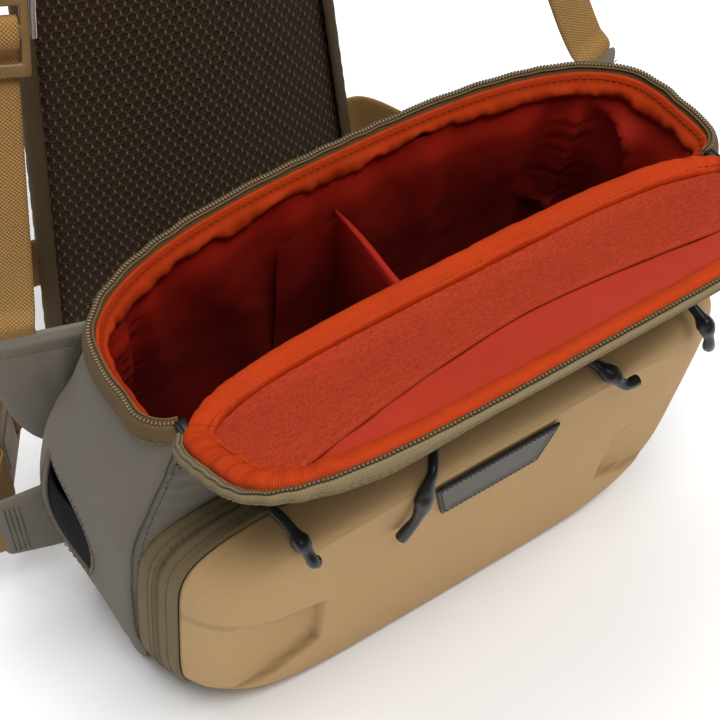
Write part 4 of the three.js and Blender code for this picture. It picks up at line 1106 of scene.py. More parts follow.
def build_lid():
    def outside(x, d, across, along):
        rim = np.minimum(ease(along, 0, 0.14) * ease(-along, -1, -0.6), ease(-across, -1, -0.9))
        edge = LINING_TOP - 1.9
        return edge + (-LID_DEPTH - 1.0 - edge) * rim - 0.7 * rolling(laid_flat(x, d), 45, 12) * rim

    def inside(x, d, across, along):
        return np.full_like(x, LINING_TOP - 1.1)

    def cloth(x, d, across, along):
        flat = laid_flat(x, d)
        folds = wave(x, 26, 3 * rolling(flat * (0.4, 1, 1), 30, 14))
        return LINING_TOP + 0.5 + 0.55 * rolling(flat, 24, 13) + 0.5 * folds * ease(d, 45, 70)

    def pile(x, d, across, along):
        flat = laid_flat(x, d)
        rim = ease(along, 0, 0.03) * ease(-along, -1, -0.97) * ease(-across, -1, -0.985)
        return LINING_TOP + 0.5 + 1.7 * rim + 0.35 * rolling(flat, 28, 15) + 0.22 * rolling(flat, 2.6, 16)

    def bow(x):
        return 45 + 0.0212 * np.abs(x) ** 1.5

    half = LID[0]
    piece = Piece().box(*[lid_sheet(half - 3.4, 50, 90, 3.2, height) for height in (outside, inside)])
    piece.make("lid_shell", "outer_cloth", "grey", "lid_panel")
    piece = Piece().grid(lid_sheet(half - 6.5, 46, 150, 4.5, cloth))
    piece.make("lid_inner", "lining_cloth", "lining", "lid_lining")
    piece = Piece().grid(lid_sheet(half - 14, 90, 300, PILE_INSET, pile, bow))
    piece.make("loop_pad", "loop_pile", "loop", "loop_panel")
    xs = np.linspace(-118, 118, 220)
    edge = lid_point(xs, np.minimum(bow(xs), lid_reach(xs, -PILE_INSET)[1]) + 0.3, LINING_TOP + 1.5)
    Piece().tube(round_rings(edge, 0.6, 8)).make("loop_edge", "bright_thread", "bright")


def build_lid_roll():
    path, out = ring_stations(LID, 760)
    place, _, lift = lid_stations(path, out)
    far = lengths(place)
    bent = ease(np.abs(path[:, 0]), 92, 138)
    crease = drift(far, 9, 20.0) + 0.5 * drift(far, 4, 23.0)
    close = ease(np.minimum(far, far[-1] - far), 0, 12)
    swell = crease * chosen_size("gather") * (0.10 + 0.26 * bent) * close
    overlap = ease(path[:, 0], 12.6, 13.8) * ease(-path[:, 0], -40, -34) * (path[:, 1] < 20)
    foot = LINING_TOP + 0.2
    roll = rounded([(-2.3, foot), (-1.7, 0.4), (-3.6, 3.0), (-7.6, 3.4), (-10.9, 2.5), (-12.5, 0.9), (-13.6, 1.5),
                    (-15.2, 0.9), (-15.2, foot)], 34)
    roll[:, 1] -= foot
    rings = lid_rings(path, out, roll, 1 + swell + 0.10 * overlap) + lift[:, None] * foot
    rings[-1] = rings[0]
    Piece().tube(rings, capped=False).make("lid_roll", "bright_tape", "bright", "lid_binding")
    seam = lid_point(*(path - out * 12.6).T, 1.25)
    Threads().row(seam, lift, thick=0.26, pitch=3.0).make("lid_roll_stitches", "bright_thread", "bright")


def build_lid_zip():
    path, out = ring_stations(LID, 400, LID_ZIP_END)
    place, aside, lift = lid_stations(path, out)
    tape = rounded([(0.4, -13.4), (2.4, -13), (3.0, -7), (2.3, -1.2), (1.6, 0.3), (-1.8, 0.35), (-4.4, -1.0),
                    (-4.4, -6.0), (-1.0, -8.5), (-0.8, -12.6)], 36)
    loose = ease(np.abs(path[:, 0]), 96, 130)
    wobble = (gathers(place, 0.35, 13, 24) * (0.35 + 0.9 * loose))[:, None]
    depth = lid_edge_share(path[:, 0])
    rings = lid_rings(path + out * wobble, out, tape, depth)
    Piece().tube(rings).make("lid_zip_tape", "zip_tape", "olive", "lid_tape")
    edge = lid_point(*(path + out * 3.0).T, -9.0 * depth)
    Threads().row(edge, aside, thick=0.25).make("lid_tape_stitches", "tan_thread", "olive")
    teeth = coil_teeth((place + aside * (wobble + 0.2) + lift * 0.3, aside, lift), 2.2, 1.2)
    teeth.make("lid_zip_teeth", "zip_coil", "coil", "lid_coil")


def build_lid_hinge():
    rows = []
    for x in np.linspace(-112, 112, 80):
        wall = [(x, front_of(BODY, x, z) - 0.9, z) for z in (202, 214, 226, 234)]
        under = [lid_point(x, d, -LID_DEPTH - 1.4) for d in (4, 9, 15, 27)]
        rows.append(flowing([*wall, *under], 26))
    rows = np.array(rows)
    rows[..., 1] -= 0.5 * rolling(rows, 22, 30) + 0.4
    thicken(Piece().grid(rows).make("hinge_cloth", "outer_cloth", "grey", "lid_hinge"), HINGE_CLOTH)


# Front pocket

def pocket_ring(half, top, bottom, grow=0.0):
    """An outline of the pocket seen from the front, as (x, z) pairs."""
    return oval((half, top, bottom, POCKET_MID_Z, POCKET_TOP_POWER, POCKET_FOOT_POWER), 380, grow)


def flat_inside(x, z):
    """How far inside the sunk flat a place lies, less than nought outside; its top edge is the softest."""
    depth = np.full(np.shape(x), 1e9)
    for k, (a, b) in enumerate(zip(FLAT, np.roll(FLAT, -1, axis=0))):
        run = unit(b - a)
        soft = 0.4 if k == len(FLAT) - 1 else 1.0
        depth = np.minimum(depth, soft * (run[0] * (z - a[1]) - run[1] * (np.abs(x) - a[0])))
    return depth


def flat_share(x, z):
    """1 on the floor of the sunk flat, 0 outside it."""
    return ease(flat_inside(x, z), -3.8, 0.4)


def build_pocket_face():
    def upright(ring, y):
        return np.column_stack([ring[:, 0], np.full(len(ring), y), ring[:, 1]])

    hem = ((4.5, -50.0), (3.4, -47.6), (1.4, -46.9))
    rows = [upright(pocket_ring(*POCKET[0, 1:], -inset), y) for inset, y in hem]
    far = lengths(POCKET)
    for s in np.linspace(0, far[-1], 30):
        y, half, top, bottom = (float(glide(far, POCKET[:, k], s)) for k in range(4))
        rows.append(upright(pocket_ring(half, top, bottom), y))
    edge = rows[-1]
    middle = np.array([0, POCKET_FACE_Y, POCKET_MID_Z])
    for share in np.linspace(1, 0, 84)[1:]:
        rows.append(middle + (edge - middle) * share - (0, 0.9 * (1 - share ** 2), 0))
    rows = np.array(rows)
    sunk = flat_share(rows[..., 0], rows[..., 2])
    rows[..., 1] = np.maximum(rows[..., 1], rows[..., 1] * (1 - sunk) + FLAT_FLOOR_Y * sunk)
    rows[..., 1] += 0.25 * rolling(rows, 40, 40)
    rows = leaning(rows)
    rows[:, -1] = rows[:, 0]
    face = Piece().grid(rows).make("pocket_face", "moulded_cloth", "tan", "pocket_shell")
    # Painted shade on the ramps of the sunk flats, strongest on the lower ramps, stored on the points for the moulded
    # finish
    spots = np.array([v.co for v in face.data.vertices]) * 1000
    ramp = flat_share(spots[:, 0], spots[:, 2])
    low = 0.45 + 0.55 * ease(-spots[:, 2], -66, -50)
    painted_ramp_shade = face.data.attributes.new("painted_ramp_shade", "FLOAT", "POINT")
    painted_ramp_shade.data.foreach_set("value", (4 * ramp * (1 - ramp) * low).tolist())


def build_pocket_band():
    shares = np.array([0, 0.06, 0.14, 0.22, 0.30, 0.38, 0.44, 0.47, 0.5, 0.53, 0.56, 0.64, 0.74, 0.84, 0.93, 1.0])
    swell = np.array([-0.8, 0.9, 1.5, 1.0, 0.8, 1.5, 1.7, 1.0, -0.9, 1.0, 1.7, 1.3, 0.9, 1.3, 1.8, 0.2])
    band = []
    for share, grow in zip(shares, swell):
        ring = pocket_ring(161.5 - 8 * share, 183.2 - 4 * share, 1.2, grow)
        start = np.array([front_of(BODY, x, z) + 1.2 for x, z in ring])
        stop = -47.2 + POCKET_LEAN * (POCKET_LEAN_Z - ring[:, 1])
        band.append(np.column_stack([ring[:, 0], start + (stop - start) * share, ring[:, 1]]))
    band = np.array(band)
    line = lengths(band[8])
    corner = ease(np.abs(band[..., 0]), 120, 150) * ease(band[..., 2], 90, 140)
    ripple = wave(line, 5.2)[None, :] * 0.45 * corner * np.sin(shares * math.pi)[:, None]
    out = facing(band, np.array([0, -30, 90]))
    band = band + out * (ripple + 0.25 * rolling(band, 18, 41))[..., None]
    band[..., 2] = np.maximum(band[..., 2], 0.4)
    band[:, -1] = band[:, 0]
    thicken(Piece().grid(band).make("pocket_zip_band", "zip_tape", "olive", "pocket_band"), BAND_CLOTH)
    thread = Threads()
    for k in (4, 6, 10, 12):
        thread.row(band[k], out[k], lift=0.15)
    thread.make("pocket_stitches", "tan_thread", "olive")


def build_patch():
    """The bare patch: a plate with a raised border, cut from a plane."""
    obj = primitive(bpy.ops.mesh.primitive_plane_add, "patch_plate")
    for vertex in obj.data.vertices:
        half, z = PATCH[int(vertex.co.y > 0)]
        vertex.co = Vector((math.copysign(half, vertex.co.x), z, 0)) * 0.001
    bpy.ops.object.mode_set(mode="EDIT")
    bpy.ops.mesh.select_all(action="SELECT")
    bpy.ops.mesh.extrude_region_move(TRANSFORM_OT_translate={"value": (0, 0, 0.0017)})
    for thickness, depth in ((0.0007, 0.0003), (0.0026, 0.0), (0.0007, -0.0006), (0.0012, 0.0)):
        bpy.ops.mesh.inset(thickness=thickness, depth=depth)
    bpy.ops.object.mode_set(mode="OBJECT")
    bevelled(obj, 0.5, 3, 30)
    # Marks the patch's side walls and first bevel for painted shade
    wall = obj.data.attributes.new("wall", "FLOAT", "POINT")
    (low, foot), (high, top) = PATCH
    for vertex in obj.data.vertices:
        x, z, up = vertex.co * 1000
        half = low + (z - foot) * (high - low) / (top - foot)
        wall.data[vertex.index].value = float(min(half - abs(x), z - foot, top - z) < PATCH_SHADED_SIDE)
        vertex.co = metres(leaning(np.array([x, POCKET_FACE_Y - 1.1 - up, z])))
    face_out(obj)
    smooth_by_angle(obj, 35)
    settle(obj, "patch_rubber", "patch", "patch")
    (low, foot), (high, top) = PATCH_STITCHES
    edge = even([(-low, foot), (low, foot), (high, top), (-high, top), (-low, foot)], 160)
    path = leaning(np.array([(x, POCKET_FACE_Y - 3.2, z) for x, z in edge]))
    Threads().row(path, (0, -1, 0), thick=0.26, pitch=2.6).make("patch_stitches", "dark_thread", "patch")


def face_out(obj):
    """Turns every face of a piece outwards."""
    only(obj)
    bpy.ops.object.mode_set(mode="EDIT")
    bpy.ops.mesh.select_all(action="SELECT")
    bpy.ops.mesh.normals_make_consistent(inside=False)
    bpy.ops.object.mode_set(mode="OBJECT")


def slider_foot(x):
    """Height of the pocket's zip at one x, where a slider stands."""
    return POCKET_MID_Z + (182.9 - POCKET_MID_Z) * arch((abs(x) - 4.5) / 160, POCKET_TOP_POWER) + 0.3


def slider_body(name, size, centre, *stands_for):
    """A zip slider: a waisted block with rounded edges and a bridge over it."""
    obj = primitive(bpy.ops.mesh.primitive_cube_add, name)
    obj.data.transform(Matrix.Diagonal((*[s * 0.001 for s in size], 1)))
    bpy.ops.object.mode_set(mode="EDIT")
    bpy.ops.mesh.select_all(action="SELECT")
    bpy.ops.mesh.subdivide(number_cuts=3)
    bpy.ops.object.mode_set(mode="OBJECT")
    for vertex in obj.data.vertices:
        along = vertex.co.y / (size[1] * 0.0005)
        waist = 1 - 0.22 * (1 - along ** 2) if size[0] < size[1] else 1
        vertex.co.x *= waist
        if vertex.co.z > size[2] * 0.0004 and abs(vertex.co.x) < size[0] * 0.0003:
            vertex.co.z += 0.0007 * (1 - along ** 2)
    bevelled(obj, 0.9, 2, 40)
    obj.data.transform(Matrix.Translation(Vector(metres(centre))))
    smooth_by_angle(obj, 50)
    return settle(obj, "black_rubber", "rubber", *stands_for)


def pull_route(x, tip_x, tip_z):
    """The way of a pull from its slider, under the lid and down the pocket's face to its tip."""
    start_y, start_z = -46.1, slider_foot(x) + 3.1
    front = POCKET_FACE_Y - 2.9 - 2.2

    def at(share):
        return x + (tip_x - x) * share

    lower = leaning(np.array([(at(0.78), front, (tip_z + 172) / 2), (tip_x, front, tip_z)]))
    return np.array([(x, start_y, start_z), (x, start_y - 4, start_z), (at(0.25), -58, 184), (at(0.55), -70.5, 177.6),
                     *lower])


def build_pulls():
    for name, x, tip_x, tip_z in PULLS:
        slider_body(f"zip_slider_{name}", (9, 11, 4.5), (x, -40, slider_foot(x) + 2.25), f"slider_{name}")
        path = flowing(pull_route(x, tip_x, tip_z), 72)
        share = np.linspace(0, 1, 72)
        radii = 2.5 + 1.9 * bump(share - 0.62, 0.09) + 0.5 * bump(share - 0.71, 0.05) + 0.55 * ease(share, 0.8, 0.97)
        rings = round_rings(path, radii, 18)
        lumps = 1 + 0.16 * rolling(rings, 4.2, 60 + x) * bump(share - 0.64, 0.14)[:, None]
        rings = path[:, None] + (rings - path[:, None]) * lumps[..., None]
        rings[:, -1] = rings[:, 0]
        pull = Piece().tube(rings).make(f"zip_pull_{name}", "black_rubber", "rubber", f"pull_{name}")
        smooth_by_angle(pull, 50)
        lengths(path)[-1] * 0.001
    for side, name in SIDES:
        slider_body(f"main_zip_slider_{name}", (5.5, 11, 7), (side * 137, -39.5, RIM_Z - 0.2), f"zip_end_{name}")


# Harness

MOUTH = np.array([-166.0, 76.0, 209.0])
WING_OUT = np.array([-0.951, 0.309, 0.0])
LOCK = np.array([-132.0, 116.0, 338.0])
LOCK_UP = unit(LOCK - MOUTH)
LOCK_ACROSS = unit(np.array([0.98, -0.2, 0]) - np.dot([0.98, -0.2, 0], LOCK_UP) * LOCK_UP)
LOCK_FACE = np.cross(LOCK_ACROSS, LOCK_UP)
TAB_Z = 77.0
TAB_ROOT = np.array([-130.0, 62.0, 0.0])
TAB_OUT = np.array([-0.975, 0.222, 0.0])
TAB_LENGTH = 68.0
TAB_END = TAB_ROOT + TAB_OUT * TAB_LENGTH
STRAP_THICK = 8.0
# Shares across a flat piece, out along its front and back along its other face
THERE_AND_BACK = np.concatenate([np.linspace(0, 1, 26), np.linspace(1, 0, 26)[1:]])
FACES = np.concatenate([np.ones(26), -np.ones(25)])


def in_lock(along, height, across=0.0):
    """A place counted from the middle of the left strap lock."""
    return LOCK + LOCK_UP * along + LOCK_FACE * height + LOCK_ACROSS * across


def panel_half(z):
    """Half width of the back panel at each height, with its rounded corners."""
    share = (z - PANEL_FOOT) / (PANEL_HEIGHT - PANEL_FOOT)
    straight = PANEL_HALF[0] + (PANEL_HALF[1] - PANEL_HALF[0]) * share
    short = (PANEL_CORNER - np.minimum(np.minimum(z - PANEL_FOOT, PANEL_HEIGHT - z), PANEL_CORNER)) / PANEL_CORNER
    return straight - PANEL_CORNER * (1 - np.sqrt(np.maximum(1 - short * short, 0)))


def panel_point(x, z, depth):
    """A point of the curved back panel: x along its curve, and depth behind its front."""
    x, z, depth = np.broadcast_arrays(*[np.asarray(v, float) for v in (x, z, depth)])
    angle = x / PANEL_RADIUS
    radius = PANEL_RADIUS - depth
    y = PANEL_FRONT_Y + PANEL_RADIUS - radius * np.cos(angle) + PANEL_LEAN * z
    return np.stack([radius * np.sin(angle), y, z], -1)


def both_sides(piece, name, finish, slot, node=None):
    """Makes a piece for the left side and its mirror image for the right."""
    return [piece.make(f"{name}_{word}", finish, slot, *([f"{node}_{word}"] if node else []), mirror=side > 0)
            for side, word in SIDES]


def build_wings():
    heights = np.concatenate([np.linspace(134, 204, 40), np.linspace(205, 210.5, 6)])
    inner = glide([134, 140, 170, 200, 211], [-150, -148, -139, -124, -116], heights)
    outer = glide([134, 150, 178, 192, 203, 208, 211], [-164, -172, -178, -184, -186, -184, -179], heights)
    face = np.cross(WING_OUT, (0, 0, 1))

    def in_wing(x, height):
        return MOUTH + WING_OUT * ((x - MOUTH[0]) / WING_OUT[0])[:, None] + face * height

    rows = []
    for z, a, b in zip(heights, inner, outer):
        x = a + (b - a) * THERE_AND_BACK
        edge = np.sqrt(np.clip(1 - np.abs(2 * THERE_AND_BACK - 1) ** 5, 0, 1))
        end = 1 - 0.75 * ease(z, 206, 211) - 0.6 * ease(-z, -140, -134)
        uneven = 0.8 * drift(x, 26, z / 20, 6.0) - 0.5 * bump(z - 200, 1.2)
        fold = drift(x, 13, z / 75, 6.0) * ease(x, -157, -146) * ease(-z, -206, -190)
        row = in_wing(x, (FACES * edge * (2.9 * end + uneven) + 4.5 * fold)[:, None])
        row[:, 2] = z
        rows.append(row)
    both_sides(Piece().tube(np.array(rows)), "wing_cloth", "outer_cloth", "grey", "wing")
    thread = Threads()
    for side in (-1, 1):
        path = in_wing(np.linspace(-126, -184, 60), side * 2.9)
        path[:, 2] = 201.5
        thread.row(path, face * side)
    both_sides(thread.rows, "wing_stitches", "tan_thread", "grey")


def build_tabs():
    face = np.cross(TAB_OUT, (0, 0, 1))
    rows = []
    for z in np.linspace(TAB_Z - 27, TAB_Z + 28, 36):
        up = (z - TAB_Z) / 27.5
        s = 26 + (TAB_LENGTH - 26 - 2.5 * abs(up) ** 6) * THERE_AND_BACK
        edge = np.sqrt(np.clip(1 - np.abs(2 * THERE_AND_BACK - 1) ** 6, 0, 1)) * math.sqrt(max(1 - abs(up) ** 8, 0.02))
        thick = FACES * edge * (2.6 + 0.5 * drift(s, 18, z / 18, 9.0))
        row = TAB_ROOT + TAB_OUT * s[:, None] + face * thick[:, None]
        row[:, 2] = TAB_Z + (z - TAB_Z) * (1 - 0.14 * ease(s, 30, TAB_LENGTH))
        rows.append(row)
    both_sides(Piece().tube(np.array(rows)), "tab_cloth", "outer_cloth", "grey", "side_tab")
    tacks = Threads()
    up = np.array([(0, 0, z) for z in np.linspace(TAB_Z - 19, TAB_Z + 19, 20)])
    for side in (-1, 1):
        for s in (55, 57.4, 59.8, 62.2):
            tacks.row(TAB_ROOT + TAB_OUT * s + face * (side * 2.6) + up, face * side, pitch=2.0)
    both_sides(tacks.rows, "tab_stitches", "dark_thread", "grey")


def build_shoulder_webbing():
    mouth = [MOUTH + (0, 0, -32), MOUTH + (0, 0, -8), MOUTH + (0, 0, 5)]
    route = mouth + [in_lock(*p) for p in (
        (-124, -0.8), (-60, -2.2), (-20, -3.1), (-11, -3.1), (-7, -0.5), (-4, 2.4), (-2, 3.1), (4, 3.1), (6.6, 1.9),
        (7.2, -0.4), (6.2, -2.6), (3, -3.8), (-11, -5.6), (-50, -5.6), (-78, -5.4))]
    path = flowing(route, 240)
    share = ease(path[:, 2], 200, 240)[:, None]
    strap = Piece().tube(ribbon(path, LOCK_ACROSS * share - WING_OUT * (1 - share), WEB_WIDTH, WEB_THICK))
    both_sides(strap, "webbing_strap", "strap_webbing", "webbing", "shoulder_webbing")
    leg = STRAP_THICK / 2 + 0.6 + WEB_THICK / 2
    loop = [in_lock(*p) for p in ((56, -leg), (40, -leg), (32, -3.2), (27, -3), (24.6, -1.9), (23.8, 0), (24.6, 1.9),
                                  (27, 3), (32, 3.2), (40, leg), (56, leg))]
    strap = Piece().tube(ribbon(flowing(loop, 90), LOCK_ACROSS, WEB_WIDTH, WEB_THICK))
    both_sides(strap, "webbing_loop", "strap_webbing", "webbing", "strap_loop")
    tacks = Threads()
    for s in (43, 47, 51):
        tacks.row([in_lock(s, leg + 1.0, a) for a in np.linspace(-11, 11, 16)], LOCK_FACE, pitch=2.2)
    both_sides(tacks.rows, "loop_tacks", "tan_thread", "webbing")


def slotted(name, xs, ys, holes, thick, bevel, matrix, *stands_for):
    """A plate with slots: a grid with faces taken out, given its depth and rounded."""
    obj = primitive(bpy.ops.mesh.primitive_grid_add, name, x_subdivisions=len(xs) - 1, y_subdivisions=len(ys) - 1)
    for vertex in obj.data.vertices:
        i = round((vertex.co.x + 0.5) * (len(xs) - 1))
        j = round((vertex.co.y + 0.5) * (len(ys) - 1))
        vertex.co = Vector((xs[i], ys[j], -thick / 2)) * 0.001
    bpy.context.tool_settings.mesh_select_mode = (False, False, True)
    for polygon in obj.data.polygons:
        centre = polygon.center * 1000
        polygon.select = any(a < centre.x < b and c < centre.y < d for a, b, c, d in holes)
    bpy.ops.object.mode_set(mode="EDIT")
    bpy.ops.mesh.delete(type="FACE")
    bpy.ops.mesh.select_all(action="SELECT")
    bpy.ops.mesh.extrude_region_move(TRANSFORM_OT_translate={"value": (0, 0, thick * 0.001)})
    bpy.ops.object.mode_set(mode="OBJECT")
    face_out(obj)
    bevelled(obj, bevel, 3, 40)
    place = Matrix([[*row] for row in matrix])
    obj.data.transform(place)
    if place.determinant() < 0:
        obj.data.flip_normals()
    smooth_by_angle(obj, 40)
    return settle(obj, "buckle_plastic", "plastic", *stands_for)


def placing(x, y, z, origin, mirror):
    """A matrix with three directions and an origin in millimetres, mirrored across the pack if asked."""
    flip = np.array([-1.0 if mirror else 1.0, 1, 1])
    o = metres(np.asarray(origin) * flip)
    return [[a * f, b * f, c * f, d] for a, b, c, d, f in zip(x, y, z, o, flip)] + [[0, 0, 0, 1]]


def build_locks():
    wire_half = 1.4
    x = 17 + SEAM_GAP + wire_half
    corners = [(-x, -2), (-x, 10), (-x, 20), (-x + 1.2, 25), (-x + 4.5, 27), (0, 27.4), (x - 4.5, 27), (x - 1.2, 25),
               (x, 20), (x, 10), (x, -2)]
    path = flowing([in_lock(b, 0, a) for a, b in corners], 70)
    for side, name in SIDES:
        matrix = placing(LOCK_ACROSS, LOCK_UP, LOCK_FACE, LOCK, side > 0)
        slotted(f"strap_lock_{name}", (-17, -13.2, 13.2, 17), (-18, -12, -2, 4, 12, 17),
                ((-13.2, 13.2, -12, -2), (-13.2, 13.2, 4, 12)), 3.8, 1.3, matrix, f"ladder_lock_{name}")
        curve = bpy.data.curves.new(f"lock_wire_{name}", "CURVE")
        curve.dimensions = "3D"
        curve.bevel_depth = wire_half * 0.001
        curve.bevel_resolution = 4
        curve.use_fill_caps = True
        spline = curve.splines.new("POLY")
        spline.points.add(len(path) - 1)
        for point, spot in zip(spline.points, metres(path * (-side, 1, 1))):
            point.co = (*spot, 1)
        wire = bpy.data.objects.new(f"lock_wire_{name}", curve)
        bpy.context.scene.collection.objects.link(wire)
        only(wire)
        bpy.ops.object.convert(target="MESH")
        bpy.ops.object.shade_smooth()
        settle(bpy.context.object, "bright_wire", "wire", f"wire_bail_{name}")


def puff(obj, pressure, cap, held):
    """Swells a padded piece with a short cloth run; the vertices in held stay where they are."""
    start = np.array([v.co for v in obj.data.vertices])
    group = obj.vertex_groups.new(name="held")
    group.add([int(i) for i in held], 1.0, "REPLACE")
    only(obj)
    modifier = obj.modifiers.new("Cloth", "CLOTH")
    settings = modifier.settings
    settings.quality = 5
    settings.mass = 0.2
    settings.use_pressure = True
    settings.uniform_pressure_force = pressure
    settings.vertex_group_mass = "held"
    settings.effector_weights.gravity = 0
    settings.tension_stiffness = settings.compression_stiffness = 20
    settings.bending_stiffness = 2
    modifier.collision_settings.use_collision = False
    modifier.point_cache.frame_start, modifier.point_cache.frame_end = 1, 20
    scene = bpy.context.scene
    for step in range(1, 21):
        scene.frame_set(step)
    bpy.ops.object.modifier_apply(modifier=modifier.name)
    scene.frame_set(1)
    moved = np.array([v.co for v in obj.data.vertices]) - start
    far = np.linalg.norm(moved, axis=1, keepdims=True)
    moved *= np.minimum(1, cap * 0.001 / np.maximum(far, 1e-9))
    obj.data.vertices.foreach_set("co", (start + moved).ravel())
    obj.data.update()
    obj.vertex_groups.clear()
    return obj


def build_shoulder_straps():
    behind = PANEL_THICK + PANEL_EDGE + 1.6 + STRAP_THICK / 2
    x = -34.0
    points = [in_lock(41, 0), in_lock(52, 0), in_lock(66, 0), (-96, 156, 428), (-80, 190, 447), (-61, 222, 436),
              (-44, 238, 402), panel_point(x, 366, behind + 2), panel_point(x, 338, behind),
              panel_point(x, 312, behind)]
    path = flowing(points, 84)
    share = np.linspace(0, 1, 84)
    ends = unit(np.array([1, x / PANEL_RADIUS, 0]))
    blend = ease(share, 0.15, 0.85)[:, None]
    across = LOCK_ACROSS * (1 - blend) + ends * blend
    widths = 28 + 18 * ease(share, 0.0, 0.22)
    rings = ribbon(path, across, widths, STRAP_THICK * 0.8, 0.1)
    per_ring = rings.shape[1] - 1
    for strap in both_sides(Piece().tube(rings), "shoulder_pad", "outer_cloth", "grey", "shoulder_strap"):
        count = len(strap.data.vertices)
        held = [i for i in range(count) if i % per_ring in (0, 8) or i < per_ring or i >= count - per_ring]
        puff(strap, 2.5, 3.0, held)
        applied(strap, "SUBSURF", levels=1, render_levels=1)
    run = unit(np.gradient(path, axis=0))
    side = unit(across - (across * run).sum(1, keepdims=True) * run)
    face = np.cross(side, run)
    half = widths[:, None] / 2
    cords, thread = Piece(), Threads()
    for s in (-1, 1):
        cords.tube(round_rings(path + side * (s * (half - 0.6)), 1.7, 10))
        thread.row(path + side * (s * (half - 4)) + face * 3.9, face)
    both_sides(cords, "shoulder_piping", "zip_tape", "olive")
    both_sides(thread.rows, "shoulder_stitches", "dark_thread", "grey")


def build_back_panel():
    tall = PANEL_HEIGHT - PANEL_FOOT
    z = PANEL_FOOT + tall * (1 - np.cos(np.linspace(0, math.pi, 74))) / 2
    z[0] += 0.02
    z[-1] -= 0.02
    share = np.linspace(-1, 1, 49)
    x = panel_half(z)[:, None] * share[None, :]
    z = z[:, None]
    rim = np.minimum(1 - np.abs(share)[None, :], np.minimum(z - PANEL_FOOT, PANEL_HEIGHT - z) / 110)
    sunk = 2.6 - 2.6 * ease(rim, 0, 0.16)
    piece = Piece().box(panel_point(x, z, sunk), panel_point(x, z, PANEL_THICK - sunk))
    panel = piece.make("mesh_panel", "spacer_mesh", "mesh", "back_panel")
    co = np.array([v.co for v in panel.data.vertices]) * 1000
    reach = panel_half(np.clip(co[:, 2], PANEL_FOOT, PANEL_HEIGHT))
    arc = np.abs(np.arcsin(np.clip(co[:, 0] / PANEL_RADIUS, -1, 1)) * PANEL_RADIUS)
    held = np.nonzero((arc > reach - 9) | (co[:, 2] < PANEL_FOOT + 9) | (co[:, 2] > PANEL_HEIGHT - 9))[0]
    puff(panel, 1.6, 3.5, held)
    applied(panel, "SUBSURF", levels=1, render_levels=1)


def build_panel_edge():
    z = PANEL_FOOT + (PANEL_HEIGHT - PANEL_FOOT) * (1 - np.cos(np.linspace(0, math.pi, 260))) / 2
    side = np.stack([panel_half(z), z], 1)
    path = even(np.concatenate([side, side[::-1] * (-1, 1), side[:1]]), 420)
    run = heading(path, True)
    flat = unit(np.stack([run[:, 1], -run[:, 0]], 1))
    angle = path[:, 0] / PANEL_RADIUS
    place = panel_point(path[:, 0], path[:, 1], PANEL_THICK / 2)
    out = np.stack([flat[:, 0] * np.cos(angle), flat[:, 0] * np.sin(angle) + flat[:, 1] * PANEL_LEAN, flat[:, 1]], 1)
    up = np.stack([-np.sin(angle), np.cos(angle), np.zeros_like(angle)], 1)
    shape = rounded([(-8, 9.2), (0.5, 9.2), (2.6, 6), (2.6, -6), (0.5, -9.2), (-8, -9.2), (-8.4, -6.4), (-0.2, -6.2),
                     (-0.2, 6.2), (-8.4, 6.4)], 34)
    wobble = gathers(place, 0.22, 15, 50)
    wobble[-1] = wobble[0]
    tape = Piece().tube(sweep((place + out * wobble[:, None], out, up), shape), capped=False)
    tape.make("panel_edge", "panel_tape", "olive", "back_binding")
    thread = Threads()
    for s in (-1, 1):
        thread.row(place - out * 5.2 + up * (s * 8.6), up * s)
    thread.make("panel_stitches", "tan_thread", "olive")


BUCKLE = np.array([-170.0, 128.0, TAB_Z])
STRAP_END = np.array([-118.0, 212.0, TAB_Z])
BUCKLE_RUN = unit(STRAP_END - BUCKLE)
BUCKLE_FACE = np.cross(BUCKLE_RUN, (0, 0, 1))


def in_buckle(along, height):
    """A place counted from the middle of the left buckle."""
    return BUCKLE + BUCKLE_RUN * along + BUCKLE_FACE * height


def bar_turn(end):
    """The way of webbing round the bar at one end of the buckle."""
    leg = 4 + SEAM_GAP + WEB_THICK / 2 + 0.2
    return [in_buckle(end * a, h) for a, h in ((44, 1.2), (27, leg), (21, leg), (18.6, 3.4), (18.6, -3.4), (21, -leg),
                                               (27, -leg), (42, -1.6))]


